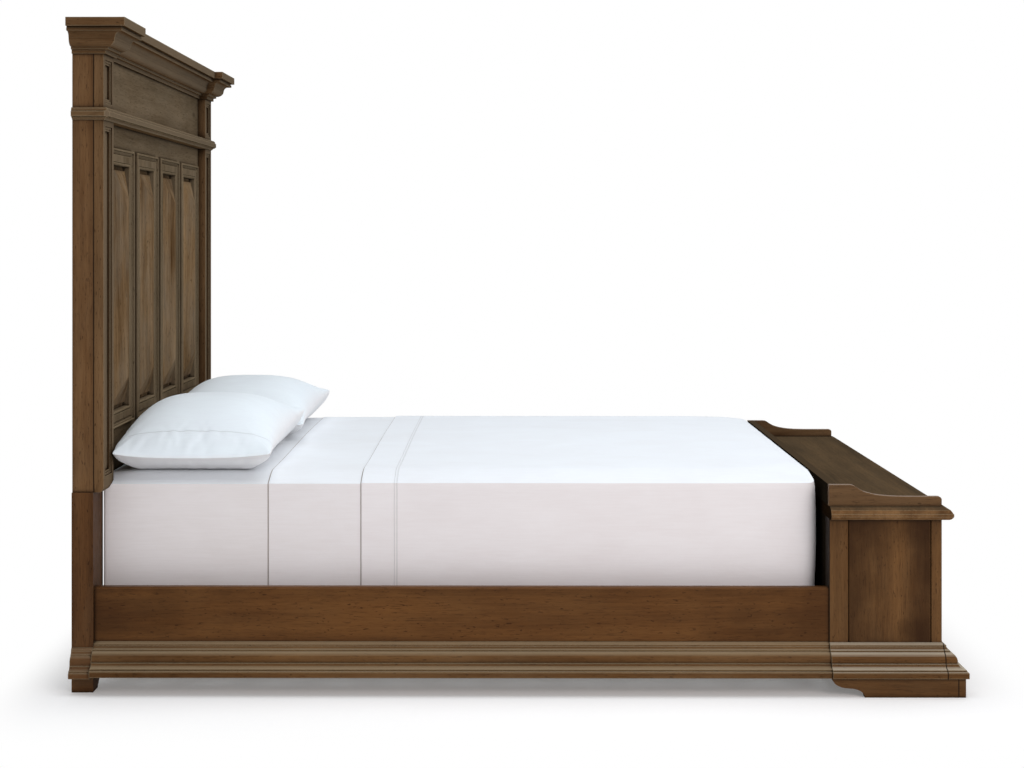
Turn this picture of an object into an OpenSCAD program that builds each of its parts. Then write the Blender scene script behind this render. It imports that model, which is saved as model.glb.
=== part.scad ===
// Storage bed: a panelled headboard, two side rails with a slatted base, and a
// bench footboard that holds two drawers, made up with mattress and bedding.
// X runs from head to foot, Y across the bed and Z up. The origin is on the
// floor, at the middle of the bed's box. Sizes are in millimetres.

/* [Bedding] */
// Mattress length
mattress_l = 2032; // [1860:1:2140]
// Mattress width
mattress_w = 1524; // [1350:1:1700]
// Mattress thickness
mattress_h = 327; // [220:1:340]
// Plan radius of the mattress corners at the foot
mattress_r = 60; // [40:1:90]
// How far the rounded mattress edge reaches in over the top
edge_w = 62; // [62:1:90]
// How far the rounded mattress edge reaches down the side
edge_h = 29; // [20:1:40]
// Height of the foundation under the mattress
foundation_h = 105; // [100:1:150]
// Gap between mattress and headboard
head_gap = 3; // [3:1:60]
// Gap between mattress and bench
foot_gap = 23; // [12:1:50]
// Gap between mattress and side rail
side_gap = 66; // [30:1:80]
// Where the flat sheet starts, from the mattress's foot end
flat_sheet_l = 1558; // [1400:1:1650]
// Where the top sheet starts, from the mattress's foot end
top_sheet_l = 1293; // [1100:1:1350]
// Thickness of the flat sheet
flat_sheet_t = 2; // [1:0.5:4]
// Thickness of the folded top sheet
top_sheet_t = 3; // [1:0.5:5]
// How far the sheets hang below the mattress
hem_down = 25; // [10:1:40]
// Pillow size from head to foot
pillow_l = 474; // [420:1:500]
// Pillow size across the bed
pillow_w = 700; // [600:1:720]
// Height of the pillow's crest over the mattress
pillow_h = 193; // [120:1:220]
// Height of a pillow's seam over the mattress at its near end
pillow_seam = 56; // [30:1:80]
// Height of a pillow's seam over the mattress at its far end
pillow_seam_far = 100; // [30:1:110]
// Gap between headboard and pillows
pillow_back = 13; // [12:1:30]
// Gap between the near post's inner side and the near pillow
pillow_side = 1; // [0.5:0.5:20]
// Gap between the pillows
pillow_gap = 38; // [20:1:78]

/* [Headboard] */
// Height of the headboard
head_h = 1880; // [1800:1:2050]
// Depth of the posts and legs
core_t = 60; // [55:1:90]
// Width of each post
post_w = 120; // [110:1:160]
// Thickness of the pilasters on the posts
pilaster_t = 28; // [20:1:29]
// Height of the joint between legs and posts
split_z = 558; // [480:1:580]
// How far the legs stand out past the posts
leg_out = 8; // [0:1:12]
// How much narrower the legs are than the posts at the inside
leg_in = 10; // [5:1:20]
// Height of the feet under the leg moulding
foot_h = 47; // [40:1:60]
// Width of the feet
foot_w = 78; // [60:1:95]
// Height of the moulding round the legs
leg_mould_h = 79; // [60:1:95]
// How far the leg moulding stands out
leg_mould_p = 40; // [30:1:50]
// Height of everything above the top rail, the middle moulding with it (mm)
mid_drop = 279; // [250:1:310]
// Height of the middle moulding
mid_h = 35; // [30:1:45]
// How far the middle moulding stands out
mid_p = 18; // [14:1:28]
// Height of the crown moulding
crown_h = 94; // [80:1:110]
// How far the crown moulding stands out
crown_p = 76; // [66:1:84]
// Thickness of the cap board
cap_t = 24; // [18:1:24]
// Thickness of the framing boards
frame_t = 24; // [22:1:27]
// Width of bare frame between two panel mouldings
panel_gap = 46; // [40:1:60]
// Width of a panel moulding
panel_mould_w = 48; // [44:1:54]
// Height of the panel mouldings' lower edge
panel_z = 712; // [690:1:740]
// Height of bare rail over the panel mouldings
top_rail_h = 67; // [50:1:80]
// How far the panels' ridges stand out of the frame
ridge_out = 26; // [12:1:30]
// Length of the sloping ends of a raised panel
hip_l = 84; // [60:1:100]

/* [Rails and slats] */
// Height of the side rails' lower edge
base_z = 53; // [45:1:60]
// Height of a side rail
rail_h = 239; // [230:1:270]
// Thickness of a side rail
rail_t = 27; // [24:1:35]
// How far the side rails are set in from the posts
rail_set = 5; // [2:1:8]
// Height of the base moulding
base_h = 88; // [80:1:95]
// How far the base moulding stands out
base_p = 62; // [60:1:70]
// Height of the slats' tops
slat_z = 165; // [155:1:170]
// Slat thickness
slat_t = 20; // [16:1:24]
// Slat width
slat_w = 90; // [70:1:100]
// Number of slats
slat_n = 12; // [10:1:14]
// Size of the cleats that carry the slats
cleat_w = 25; // [22:1:35]
// Height of the cleats
cleat_h = 40; // [30:1:45]
// Width of the centre rail
centre_w = 40; // [35:1:50]
// Height of the centre rail
centre_h = 60; // [50:1:65]
// Width of the centre legs
centre_leg_w = 45; // [40:1:60]
// Diameter of a centre leg's glide
glide_d = 32; // [25:1:38]
// Height of a centre leg's glide
glide_h = 8; // [5:1:12]

/* [Bench] */
// Depth of the bench
bench_d = 314; // [300:1:360]
// Height of the bench top's surface
bench_h = 521; // [500:1:560]
// Thickness of the bench top
top_t = 36; // [30:1:42]
// How far the bench top overhangs
top_over = 28; // [22:1:34]
// Depth of the bench's rear posts
rear_stile = 54; // [50:1:70]
// Depth of the bench's front posts
front_stile = 30; // [28:1:40]
// Width of the bench's posts across the bed
bench_post_w = 60; // [56:1:80]
// Thickness of the bench's side panels, back and face frame
board_t = 24; // [20:1:26]
// Height of the galleries over the bench top
gallery_h = 59; // [50:1:80]
// Height of the galleries' low front part
gallery_low = 26; // [20:1:32]
// Gallery thickness
gallery_t = 22; // [18:1:26]
// Length of the galleries' high part
gallery_flat = 59; // [50:1:80]
// Length of the curve between the high and low parts
gallery_sweep = 155; // [120:1:180]
// How far the bracket feet are set in from the moulding's face
bracket_set = 8; // [5:1:12]
// Thickness of the bracket feet
bracket_t = 24; // [20:1:28]
// Length of a bracket foot's scroll
scroll_l = 89; // [70:1:110]

/* [Drawers] */
// Height of the drawer openings' lower edge
drawer_z = 165; // [160:1:180]
// Height of a drawer opening
drawer_h = 280; // [250:1:290]
// Width of the divider between the drawers
divider_w = 40; // [36:1:60]
// Gap round a drawer front
drawer_gap = 3; // [2:0.5:4]
// Thickness of a drawer front
front_t = 22; // [20:1:24]
// Wall of a drawer box
box_t = 12; // [10:1:15]
// Height of a drawer box
box_h = 230; // [200:1:235]
// Thickness of a drawer bottom
bottom_t = 6; // [4:1:8]
// Width of a drawer slide
slide_w = 13; // [12.5:0.1:14]
// Height of a drawer slide
slide_h = 46; // [44:1:50]
// Length of a drawer slide
slide_l = 240; // [220:1:250]
// Distance between a pull's two posts
pull_c = 96; // [76:1:128]
// Distance of each pull from the drawer's middle
pull_y = 190; // [150:1:230]
// Drop of a pull's bail
bail_drop = 34; // [28:1:45]
// Thickness of a bail
bail_d = 6; // [5.5:0.5:8]
// Diameter of a bail's pins
pin_d = 5; // [4:0.5:5]

/* [Fits] */
// Running clearance on the diameter of a pin
pin_fit = 0.1; // [0.06:0.01:0.18]
// Gap between a soft piece and what carries it
soft_gap = 0.3; // [0.2:0.1:0.5]
// Clearance at the ends of a tenon, slat or panel
end_fit = 2; // [1:0.5:3]

/* [Hidden] */
$fn = 48;
// Lengths along the bed
rail_l = head_gap + mattress_l + foot_gap;
back_x = -(core_t + rail_l + bench_d + base_p) / 2;
head_x = back_x + core_t;
foot_x = head_x + rail_l;
end_x = foot_x + bench_d;
pilaster_x = head_x + pilaster_t;
mattress_x = head_x + head_gap;
mattress_end = mattress_x + mattress_l;
// Widths across the bed
rail_in = mattress_w / 2 + side_gap;
rail_out = rail_in + rail_t;
side_y = rail_out + rail_set;
post_in = side_y - post_w;
leg_y = side_y + leg_out;
leg_in_y = post_in + leg_in;
bench_in = side_y - bench_post_w;
// Heights
rail_z = base_z + rail_h;
foundation_z = slat_z;
mattress_z = foundation_z + foundation_h;
bed_z = mattress_z + mattress_h;
// The mattress's head corners are soft and round under the pilasters' feet
tuck_gap = 6;
tuck_low_r = 30;
tuck_x = pilaster_t + tuck_gap - head_gap;
tuck_y = mattress_w / 2 - post_in;
tuck_r = tuck_x > 0 && tuck_y > 0
    ? max(tuck_low_r, tuck_x + tuck_y + sqrt(2 * tuck_x * tuck_y)) : tuck_low_r;
tuck_h = 10;
tuck_z = min(split_z, bed_z - edge_h) - tuck_h - 2;
crown_z = head_h - crown_h;
cap_z = head_h - cap_t;
mid_z = head_h - mid_drop;
top_z = bench_h - top_t;
cleat_z = slat_z - slat_t - cleat_h;
centre_z = slat_z - slat_t - centre_h;
// Headboard panels: the moulding laps the frame, the panel sits in a rebate
panel_n = 4;
lap = 15;
rebate = 10;
tongue_t = 8;
field_gap = 14;
field_edge = 9;
plateau_w = 10;
// Sunk panels of the pilasters, as [distance from the side, depth]
panel_steps = [[18, 3], [25, 5], [31, 11]];
mid_chamfer = 12;
mould_w = (2 * post_in - (panel_n + 1) * panel_gap) / panel_n;
mould_h = mid_z - top_rail_h - panel_z;
open_w = mould_w - 2 * lap;
open_h = mould_h - 2 * lap;
open_z = panel_z + lap;
back_panel_t = 6;
// Tenons
tenon_t = 12;
tenon_l = 30;
leg_tenon = [30, 40, 80];
// Lower stretcher of the headboard
stretcher_z = 60;
stretcher_h = 140;
// Slats start this far from the headboard and the bench
slat_end = 40;
slat_pitch = (rail_l - 2 * slat_end - slat_w) / (slat_n - 1);
screw_d = 4;
screw_head = 8;
screw_head_h = 3;
screw_l = 45;
centre_leg_n = 3;
hanger_t = 3;
hanger_l = 30;
// Bed rail hooks
hook_plate = [40, 2.6, 130];
hook_reach = 12;
hook_drop = 9;
hook_h = 24;
socket_t = 2;
socket_w = 20;
socket_rise = 10;
// Drawers
open_y = bench_in - divider_w / 2;
box_w = open_y - 2 * slide_w;
box_z = drawer_z + 12;
box_gap = 10;
box_x = foot_x + board_t + box_gap;
box_l = end_x - front_t - box_x;
groove = 5;
bottom_up = 12;
slide_z = box_z + box_h / 2;
slide_x = end_x - front_t - 6 - slide_l;
slide_wall = 1.2;
raceway = 3.2;
bead_w = 7;
bead_p = 3;
travel = 200;
pull_z = drawer_z + drawer_h / 2;
pull_post_d = 12;
pull_out = 12;
pull_screw_d = 5;
pull_screw_l = 9;
rosette_d = 26;
rosette_t = 3;
bumper_d = 8;

// ---- shared shapes ----

// Points on an elliptical arc
function arc(cx, cy, rx, ry, a0, a1, n = 6) =
    [for (i = [0 : n]) let (a = a0 + (a1 - a0) * i / n) [cx + rx * cos(a), cy + ry * sin(a)]];

// Children on the +Y side, and their mirror image on the -Y side
module both() {
    children();
    mirror([0, 1, 0]) children();
}

// A box between two corners
module box(a, b) {
    translate(a) cube(b - a);
}

// A moulding along +X with its back on Y = 0. The profile is (out, up), and an
// end is mitred as an outside (1) or inside (-1) corner, or square (0).
module run(pts, length, m0 = 0, m1 = 0) {
    p = max([for (q = pts) q[0]]) + 1;
    lo = min([for (q = pts) q[1]]) - 1;
    hi = max([for (q = pts) q[1]]) + 1;
    intersection() {
        translate([-p, 0, 0]) rotate([90, 0, 90]) linear_extrude(length + 2 * p) polygon(pts);
        translate([0, 0, lo]) linear_extrude(hi - lo)
            polygon([[m0, -1], [length - m1, -1], [length + m1 * p, p], [-m0 * p, p]]);
    }
}

// The same moulding across the bed, its back on X = 0, from +Y towards -Y
module run_across(pts, length, m0 = 0, m1 = 0) {
    translate([0, length / 2, 0]) rotate([0, 0, -90]) run(pts, length, m0, m1);
}

// Four mitred pieces round a w by h rectangle in the YZ plane, from its lower
// -Y corner. The profile is (in from the edge, out along +X).
module ring_of(pts, w, h) {
    rotate([90, 0, 90]) {
        run(pts, w, -1, -1);
        translate([w, 0, 0]) rotate(90) run(pts, h, -1, -1);
        translate([w, h, 0]) rotate(180) run(pts, w, -1, -1);
        translate([0, h, 0]) rotate(270) run(pts, h, -1, -1);
    }
}

// ---- moulding profiles, as (out, up) ----

// Base moulding: plinth, quirk, cove, torus, a small cove and a bead under a slope
function base_profile(p, z, h) =
    let (ramp = concat(
        [[0, 0], [1, 0], [1, 0.17], [0.97, 0.2], [0.91, 0.21], [0.91, 0.25]],
        arc(0.9, 0.4, 0.28, 0.14, -90, -180, 6),
        [[0.57, 0.41]],
        arc(0.3, 0.47, 0.285, 0.25, 0, 75, 6),
        [[0.31, 0.735], [0.31, 0.77]],
        arc(0.3, 0.87, 0.12, 0.09, -90, -180, 4),
        [[0.165, 0.88], [0.165, 0.925], [0.12, 0.95], [0.02, 1], [0, 1]]))
    [for (q = ramp) [q[0] * p, z + q[1] * h]];

// Crown moulding: two fillets, an ogee, a band and the cap over a quirk
function crown_profile(p, h) = concat(
    [[0, 0], [0.105 * p, 0], [0.105 * p, 0.107 * h], [0.22 * p, 0.128 * h], [0.22 * p, 0.19 * h]],
    arc(0.233 * p, 0.44 * h, 0.307 * p, 0.245 * h, -90, 0, 6),
    arc(0.76 * p, 0.44 * h, 0.21 * p, 0.172 * h, 174, 90, 6),
    [[0.87 * p, 0.612 * h], [0.87 * p, 0.7 * h], [0.84 * p, 0.7 * h], [0.84 * p, h - cap_t],
        [p, h - cap_t], [p, h], [0, h]]);

// Middle moulding: cove, groove, flat band, groove and a bevelled top
function mid_profile(p, h) = [[0, 0], [0.2 * p, 0], [0.28 * p, 0.1 * h], [0.45 * p, 0.17 * h],
    [0.7 * p, 0.2 * h], [0.7 * p, 0.26 * h], [0.95 * p, 0.27 * h], [p, 0.31 * h],
    [p, 0.66 * h], [0.95 * p, 0.7 * h], [0.78 * p, 0.7 * h], [0.78 * p, 0.76 * h],
    [0.7 * p, 0.9 * h], [0.45 * p, h], [0, h]];

// Panel moulding: outer bead, quirk, cove, flat band and inner bead, with a
// leg that reaches back to the panel
function panel_profile(w, deep) = concat(
    [[0, 0], [0, 7.5]],
    arc(3.5, 7.5, 3.5, 3.5, 180, 0, 6),
    [[7, 5.5], [9, 5.5], [11, 3.4], [14, 2.3], [18, 2], [18, 5], [w - 9, 5], [w - 9, 3.4],
        [w - 8, 3.4]],
    arc(w - 4, 3.4, 4, 3, 180, 0, 6),
    [[w, -deep], [lap + 1, -deep], [lap + 1, 0]]);

// Edge of the bench top
function nose_profile(p, h) = [[0, 0], [0.6 * p, 0], [0.78 * p, 0.06 * h],
    [0.9 * p, 0.16 * h], [p, 0.27 * h], [p, 0.47 * h], [0.9 * p, 0.56 * h],
    [0.86 * p, 0.62 * h], [0.74 * p, 0.76 * h], [0.66 * p, 0.79 * h], [0.4 * p, 0.91 * h],
    [0.05 * p, h], [0, h]];

// ---- headboard ----

module leg_tenons(fit) {
    both() box([head_x - core_t / 2 - leg_tenon[0] / 2, side_y - post_w / 2 - leg_tenon[1] / 2,
        split_z], [head_x - core_t / 2 + leg_tenon[0] / 2, side_y - post_w / 2 + leg_tenon[1] / 2,
        split_z + leg_tenon[2] + fit]);
}

// Tenons of one rail between the posts or the legs
module rail_tenons(z0, z1, y, fit) {
    x = head_x - frame_t / 2;
    box([x - tenon_t / 2, -y - tenon_l - fit, z0], [x + tenon_t / 2, y + tenon_l + fit, z1]);
}

module head_tenons(fit) {
    rail_tenons(split_z + 30, open_z - 30, post_in, fit);
    rail_tenons(open_z + open_h + 15, mid_z - 15, post_in, fit);
    rail_tenons(mid_z + mid_h + 20, crown_z - 20, post_in, fit);
}

module posts() {
    color("sienna") difference() {
        both() box([back_x, post_in, split_z], [head_x, side_y, cap_z]);
        leg_tenons(end_fit);
        head_tenons(end_fit);
    }
}

module stretcher_tenons(fit) {
    rail_tenons(stretcher_z + 20, stretcher_z + stretcher_h - 20, leg_in_y, fit);
}

module legs() {
    color("saddlebrown") difference() {
        union() {
            both() box([back_x, leg_in_y, foot_h], [head_x, leg_y, split_z]);
            leg_tenons(0);
        }
        stretcher_tenons(end_fit);
        rail_sockets(head_x, 1);
    }
}

// Feet, with the lower inner corner cut off
module leg_feet() {
    cut = foot_h / 2;
    color("peru") both() translate([back_x, 0, 0]) rotate([90, 0, 90]) linear_extrude(core_t)
        polygon([[leg_y - foot_w + cut, 0], [leg_y, 0], [leg_y, foot_h], [leg_y - foot_w, foot_h],
            [leg_y - foot_w, cut]]);
}

module leg_mouldings() {
    color("sienna") both() translate([back_x, leg_y, 0])
        run(base_profile(leg_mould_p, foot_h, leg_mould_h), core_t);
}

// Sunk panel in the face of a pilaster, between two heights
module pilaster_panel(z0, z1) {
    for (step = panel_steps)
        box([pilaster_x - step[1], post_in + step[0], z0 + step[0] - panel_steps[0][0]],
            [pilaster_x + 1, side_y - step[0], z1 - step[0] + panel_steps[0][0]]);
}

module pilasters() {
    color("saddlebrown") both() difference() {
        union() {
            translate([0, side_y, 0]) rotate([90, 0, 0]) linear_extrude(post_w)
                polygon([[head_x, split_z], [pilaster_x - 8, split_z], [pilaster_x, split_z + 12],
                    [pilaster_x, mid_z], [head_x, mid_z]]);
            box([head_x, post_in, mid_z + mid_h], [pilaster_x, side_y, cap_z]);
        }
        pilaster_panel(split_z + 42, mid_z - 16);
        pilaster_panel(mid_z + mid_h + 14, crown_z - 14);
    }
}

// Distance of panel i's moulding edge from the middle of the bed
function mould_y(i) = -post_in + panel_gap + i * (mould_w + panel_gap);

// The openings of the frame and the rebates behind them
module panel_openings() {
    for (i = [0 : panel_n - 1]) {
        y0 = mould_y(i) + lap;
        box([head_x - frame_t - 1, y0, open_z], [head_x + 1, y0 + open_w, open_z + open_h]);
        box([head_x - frame_t - 1, y0 - rebate, open_z - rebate],
            [head_x - frame_t + tongue_t, y0 + open_w + rebate, open_z + open_h + rebate]);
    }
}

module head_rails() {
    color("chocolate") difference() {
        union() {
            box([head_x - frame_t, -post_in, split_z], [head_x, post_in, open_z]);
            box([head_x - frame_t, -post_in, open_z + open_h], [head_x, post_in, mid_z]);
            rail_tenons(split_z + 30, open_z - 30, post_in, 0);
            rail_tenons(open_z + open_h + 15, mid_z - 15, post_in, 0);
        }
        panel_openings();
    }
}

module head_stiles() {
    color("peru") difference() {
        box([head_x - frame_t, -post_in, open_z], [head_x, post_in, open_z + open_h]);
        panel_openings();
    }
}

// Panel i: a tongued board with a long hipped field on it
module panel(i) {
    tongue = rebate - 1;
    y0 = mould_y(i) + lap;
    x0 = head_x - frame_t + tongue_t;
    rise = frame_t - tongue_t + ridge_out;
    inner = panel_mould_w + field_gap;
    w = mould_w - 2 * inner;
    h = mould_h - 2 * inner;
    box([x0 - tongue_t, y0 - tongue, open_z - tongue],
        [x0, y0 + open_w + tongue, open_z + open_h + tongue]);
    box([x0 - 1, y0 + inner - lap, panel_z + inner],
        [x0 + field_edge, y0 + inner - lap + w, panel_z + inner + h]);
    translate([x0 + field_edge - 0.01, mould_y(i) + mould_w / 2, panel_z + mould_h / 2])
        hipped(w, h, plateau_w, h - 2 * hip_l, rise - field_edge);
}

// A block with sloping sides along +X, from w by h at its base to a by b
module hipped(w, h, a, b, rise) {
    low = [[0, -w / 2, -h / 2], [0, w / 2, -h / 2], [0, w / 2, h / 2], [0, -w / 2, h / 2]];
    high = [[rise, -a / 2, -b / 2], [rise, a / 2, -b / 2], [rise, a / 2, b / 2],
        [rise, -a / 2, b / 2]];
    polyhedron(concat(low, high), [[0, 1, 2, 3], [7, 6, 5, 4], [0, 4, 5, 1], [1, 5, 6, 2],
        [2, 6, 7, 3], [3, 7, 4, 0]]);
}

module panels() {
    color("burlywood") for (i = [0 : panel_n - 1]) panel(i);
}

module panel_mouldings() {
    color("saddlebrown") for (i = [0 : panel_n - 1])
        translate([head_x, mould_y(i), panel_z])
            ring_of(panel_profile(panel_mould_w, frame_t - tongue_t), mould_w, mould_h);
}

module frieze() {
    color("sienna") union() {
        box([head_x - frame_t, -post_in, mid_z], [head_x, post_in, cap_z]);
        rail_tenons(mid_z + mid_h + 20, crown_z - 20, post_in, 0);
    }
}

// One moulding across the pilasters and the frieze, returned round the posts
module mid_moulding() {
    pts = mid_profile(mid_p, mid_h);
    corner = [pilaster_x + mid_p + 1, side_y + mid_p + 1];
    color("peru") difference() {
        union() {
            box([head_x, -side_y, mid_z], [pilaster_x, side_y, mid_z + mid_h]);
            translate([pilaster_x, 0, mid_z]) run_across(pts, 2 * side_y, 1, 1);
            both() translate([back_x, side_y, mid_z]) run(pts, pilaster_x - back_x, 0, 1);
        }
        both() translate([0, 0, mid_z - 1]) linear_extrude(mid_h + 2) polygon(
            [corner, corner - [mid_chamfer + 2, 0], corner - [0, mid_chamfer + 2]]);
    }
}

module cornice() {
    color("chocolate") translate([head_x, 0, crown_z])
        run_across(crown_profile(crown_p, crown_h), 2 * post_in, -1, -1);
}

// The crown breaks forward round each post
module cornice_blocks() {
    pts = crown_profile(crown_p, crown_h);
    color("sienna") both() union() {
        translate([back_x, side_y, crown_z]) run(pts, pilaster_x - back_x, 0, 1);
        translate([pilaster_x, side_y - post_w / 2, crown_z]) run_across(pts, post_w, 1, 1);
        translate([head_x, post_in, crown_z]) mirror([0, 1, 0]) run(pts, pilaster_t, -1, 1);
    }
}

module cap_board() {
    color("peru") union() {
        box([back_x, -side_y, cap_z], [head_x, side_y, head_h]);
        both() box([head_x, post_in, cap_z], [pilaster_x, side_y, head_h]);
    }
}

module head_back() {
    x = head_x - frame_t;
    color("wheat") box([x - back_panel_t, -post_in, split_z + 10],
        [x, post_in, open_z + open_h + rebate + 10]);
}

module stretcher() {
    color("burlywood") union() {
        box([head_x - frame_t, -leg_in_y, stretcher_z],
            [head_x, leg_in_y, stretcher_z + stretcher_h]);
        stretcher_tenons(0);
    }
}

// ---- side rails and slatted base ----

module side_rails() {
    bevel = 4;
    color("sienna") difference() {
        both() translate([head_x, 0, 0]) rotate([90, 0, 90]) linear_extrude(rail_l)
            polygon([[rail_in, base_z], [rail_out, base_z], [rail_out, rail_z - bevel],
                [rail_out - bevel, rail_z], [rail_in, rail_z]]);
        hook_slots();
    }
}

module rail_mouldings() {
    color("saddlebrown") both() translate([head_x, rail_out, 0])
        run(base_profile(base_p, base_z, base_h), rail_l);
}

// Hooks and sockets lie on the rail's middle, at this height
hook_y = rail_in + rail_t / 2;
hook_z = base_z + 65;

// Slots for the hook plates in the rails' ends
module hook_slots() {
    both() for (x = [head_x - 1, foot_x - hook_plate[0]])
        box([x, hook_y - hook_plate[1] / 2, hook_z],
            [x + hook_plate[0] + 1, hook_y + hook_plate[1] / 2, hook_z + hook_plate[2]]);
}

// A plate with two hooks that drop behind the socket plate, hooks towards -X
module hook_plate_at() {
    top = hook_plate[2];
    color("silver") rotate([90, 0, 0]) linear_extrude(hook_plate[1], center = true)
        polygon([[hook_plate[0], 0], [hook_plate[0], top], [0, top],
            [-hook_reach, top], [-hook_reach, top - hook_h - hook_drop],
            [-socket_t, top - hook_h - hook_drop], [-socket_t, top - hook_h], [0, top - hook_h],
            [0, hook_h + hook_drop], [-hook_reach, hook_h + hook_drop], [-hook_reach, 0],
            [-socket_t, 0], [-socket_t, hook_drop], [0, hook_drop], [0, 0]]);
}

module hook_plates() {
    both() {
        translate([head_x, hook_y, hook_z]) hook_plate_at();
        translate([foot_x, hook_y, hook_z]) mirror([1, 0, 0]) hook_plate_at();
    }
}

// The space for a socket plate, and the pocket behind it for the hooks
module rail_sockets(x, side) {
    both() translate([x, hook_y, hook_z]) mirror([side > 0 ? 0 : 1, 0, 0]) {
        box([-socket_t, -socket_w / 2, -2 * socket_rise],
            [1, socket_w / 2, hook_plate[2] + 2 * socket_rise]);
        box([-hook_reach - end_fit, -hook_plate[1] / 2 - 1, -socket_rise],
            [0, hook_plate[1] / 2 + 1, hook_plate[2] + socket_rise]);
    }
}

module socket_plate() {
    color("gray") difference() {
        box([-socket_t, -socket_w / 2, -2 * socket_rise],
            [0, socket_w / 2, hook_plate[2] + 2 * socket_rise]);
        for (z = [hook_drop, hook_plate[2] - hook_h])
            box([-socket_t - 1, -hook_plate[1] / 2, z],
                [1, hook_plate[1] / 2, z + hook_h + hook_drop]);
    }
}

module hook_sockets() {
    both() {
        translate([head_x, hook_y, hook_z]) socket_plate();
        translate([foot_x, hook_y, hook_z]) mirror([1, 0, 0]) socket_plate();
    }
}

module slat_places() {
    for (i = [0 : slat_n - 1]) translate([head_x + slat_end + i * slat_pitch, 0, 0]) children();
}

// A screw through each slat's ends into the cleats
module screws(fit) {
    slat_places() both() translate([slat_w / 2, rail_in - cleat_w / 2, slat_z]) {
        translate([0, 0, -screw_l]) cylinder(h = screw_l - screw_head_h, d = screw_d);
        translate([0, 0, -screw_head_h]) cylinder(h = screw_head_h + fit, d = screw_head);
    }
}

module cleats() {
    color("burlywood") difference() {
        both() box([head_x + slat_end, rail_in - cleat_w, cleat_z],
            [foot_x - slat_end, rail_in, cleat_z + cleat_h]);
        screws(1);
    }
}

module slats() {
    color("wheat") difference() {
        slat_places() box([0, -rail_in + end_fit, slat_z - slat_t],
            [slat_w, rail_in - end_fit, slat_z]);
        screws(1);
    }
}

module slat_screws() {
    color("silver") screws(0);
}

module centre_rail() {
    color("burlywood") box([head_x + hanger_t, -centre_w / 2, centre_z],
        [foot_x - hanger_t, centre_w / 2, centre_z + centre_h]);
}

// A steel cup that carries one end of the centre rail, its back on X = 0
module hanger() {
    w = centre_w / 2;
    box([0, -w - 20, centre_z - hanger_t], [hanger_t, w + 20, centre_z + centre_h]);
    box([hanger_t, -w - hanger_t, centre_z - hanger_t], [hanger_t + hanger_l, w + hanger_t,
        centre_z]);
    both() box([hanger_t, w, centre_z], [hanger_t + hanger_l, w + hanger_t, centre_z + centre_h
        / 2]);
}

module centre_hangers() {
    color("silver") {
        translate([head_x, 0, 0]) hanger();
        translate([foot_x, 0, 0]) mirror([1, 0, 0]) hanger();
    }
}

module centre_leg_places() {
    for (i = [1 : centre_leg_n])
        translate([head_x + i * rail_l / (centre_leg_n + 1), 0, 0]) children();
}

module centre_legs() {
    w = centre_leg_w / 2;
    color("peru") centre_leg_places() box([-w, -w, glide_h], [w, w, centre_z]);
}

module glides() {
    color("dimgray") centre_leg_places() cylinder(h = glide_h, d = glide_d);
}

// ---- bench footboard ----

// The posts' corners towards the side panel are bevelled, which gives the
// V grooves on the bench's sides
v_cut = 3;

module bench_posts() {
    color("saddlebrown") difference() {
        both() translate([0, 0, base_z]) linear_extrude(top_z - base_z) {
            polygon([[foot_x, bench_in], [foot_x + rear_stile, bench_in],
                [foot_x + rear_stile, side_y - v_cut], [foot_x + rear_stile - v_cut, side_y],
                [foot_x, side_y]]);
            polygon([[end_x - front_stile, bench_in], [end_x, bench_in], [end_x, side_y],
                [end_x - front_stile + v_cut, side_y], [end_x - front_stile, side_y - v_cut]]);
        }
        rail_sockets(foot_x, -1);
    }
}

module bench_sides() {
    x0 = foot_x + rear_stile;
    x1 = end_x - front_stile;
    color("sienna") both() translate([0, 0, base_z]) linear_extrude(top_z - base_z)
        polygon([[x0, side_y - board_t], [x1, side_y - board_t], [x1, side_y - v_cut],
            [x1 - v_cut, side_y], [x0 + v_cut, side_y], [x0, side_y - v_cut]]);
}

// The back closes the carcass, and a rail over it stops the mattress
module bench_back() {
    y = side_y - gallery_t;
    color("chocolate") {
        box([foot_x, -bench_in, base_z], [foot_x + board_t, bench_in, top_z]);
        box([foot_x, -y, bench_h], [foot_x + board_t, y, bench_h + gallery_h]);
    }
}

module bench_bottom() {
    t = 18;
    color("wheat") box([foot_x + board_t, -bench_in, drawer_z - t],
        [end_x - board_t, bench_in, drawer_z]);
}

module divider() {
    color("burlywood") box([foot_x + board_t, -divider_w / 2, drawer_z],
        [end_x - board_t, divider_w / 2, top_z]);
}

module face_frame() {
    color("saddlebrown") difference() {
        box([end_x - board_t, -bench_in, base_z], [end_x, bench_in, top_z]);
        both() box([end_x - board_t - 1, divider_w / 2, drawer_z],
            [end_x + 1, bench_in + 1, drawer_z + drawer_h]);
    }
}

// Blocks between the posts that carry the outer drawer slides
module runner_blocks() {
    rim = 12;
    color("burlywood") both() box([foot_x + rear_stile, bench_in, slide_z - slide_h / 2 - rim],
        [end_x - front_stile, side_y - board_t, slide_z + slide_h / 2 + rim]);
}

module bench_top() {
    nose = nose_profile(top_over, top_t);
    color("peru") translate([0, 0, top_z]) union() {
        box([foot_x, -side_y, 0], [end_x, side_y, top_t]);
        translate([end_x, 0, 0]) run_across(nose, 2 * side_y, 1, 1);
        both() translate([foot_x, side_y, 0]) run(nose, bench_d, 0, 1);
    }
}

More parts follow.
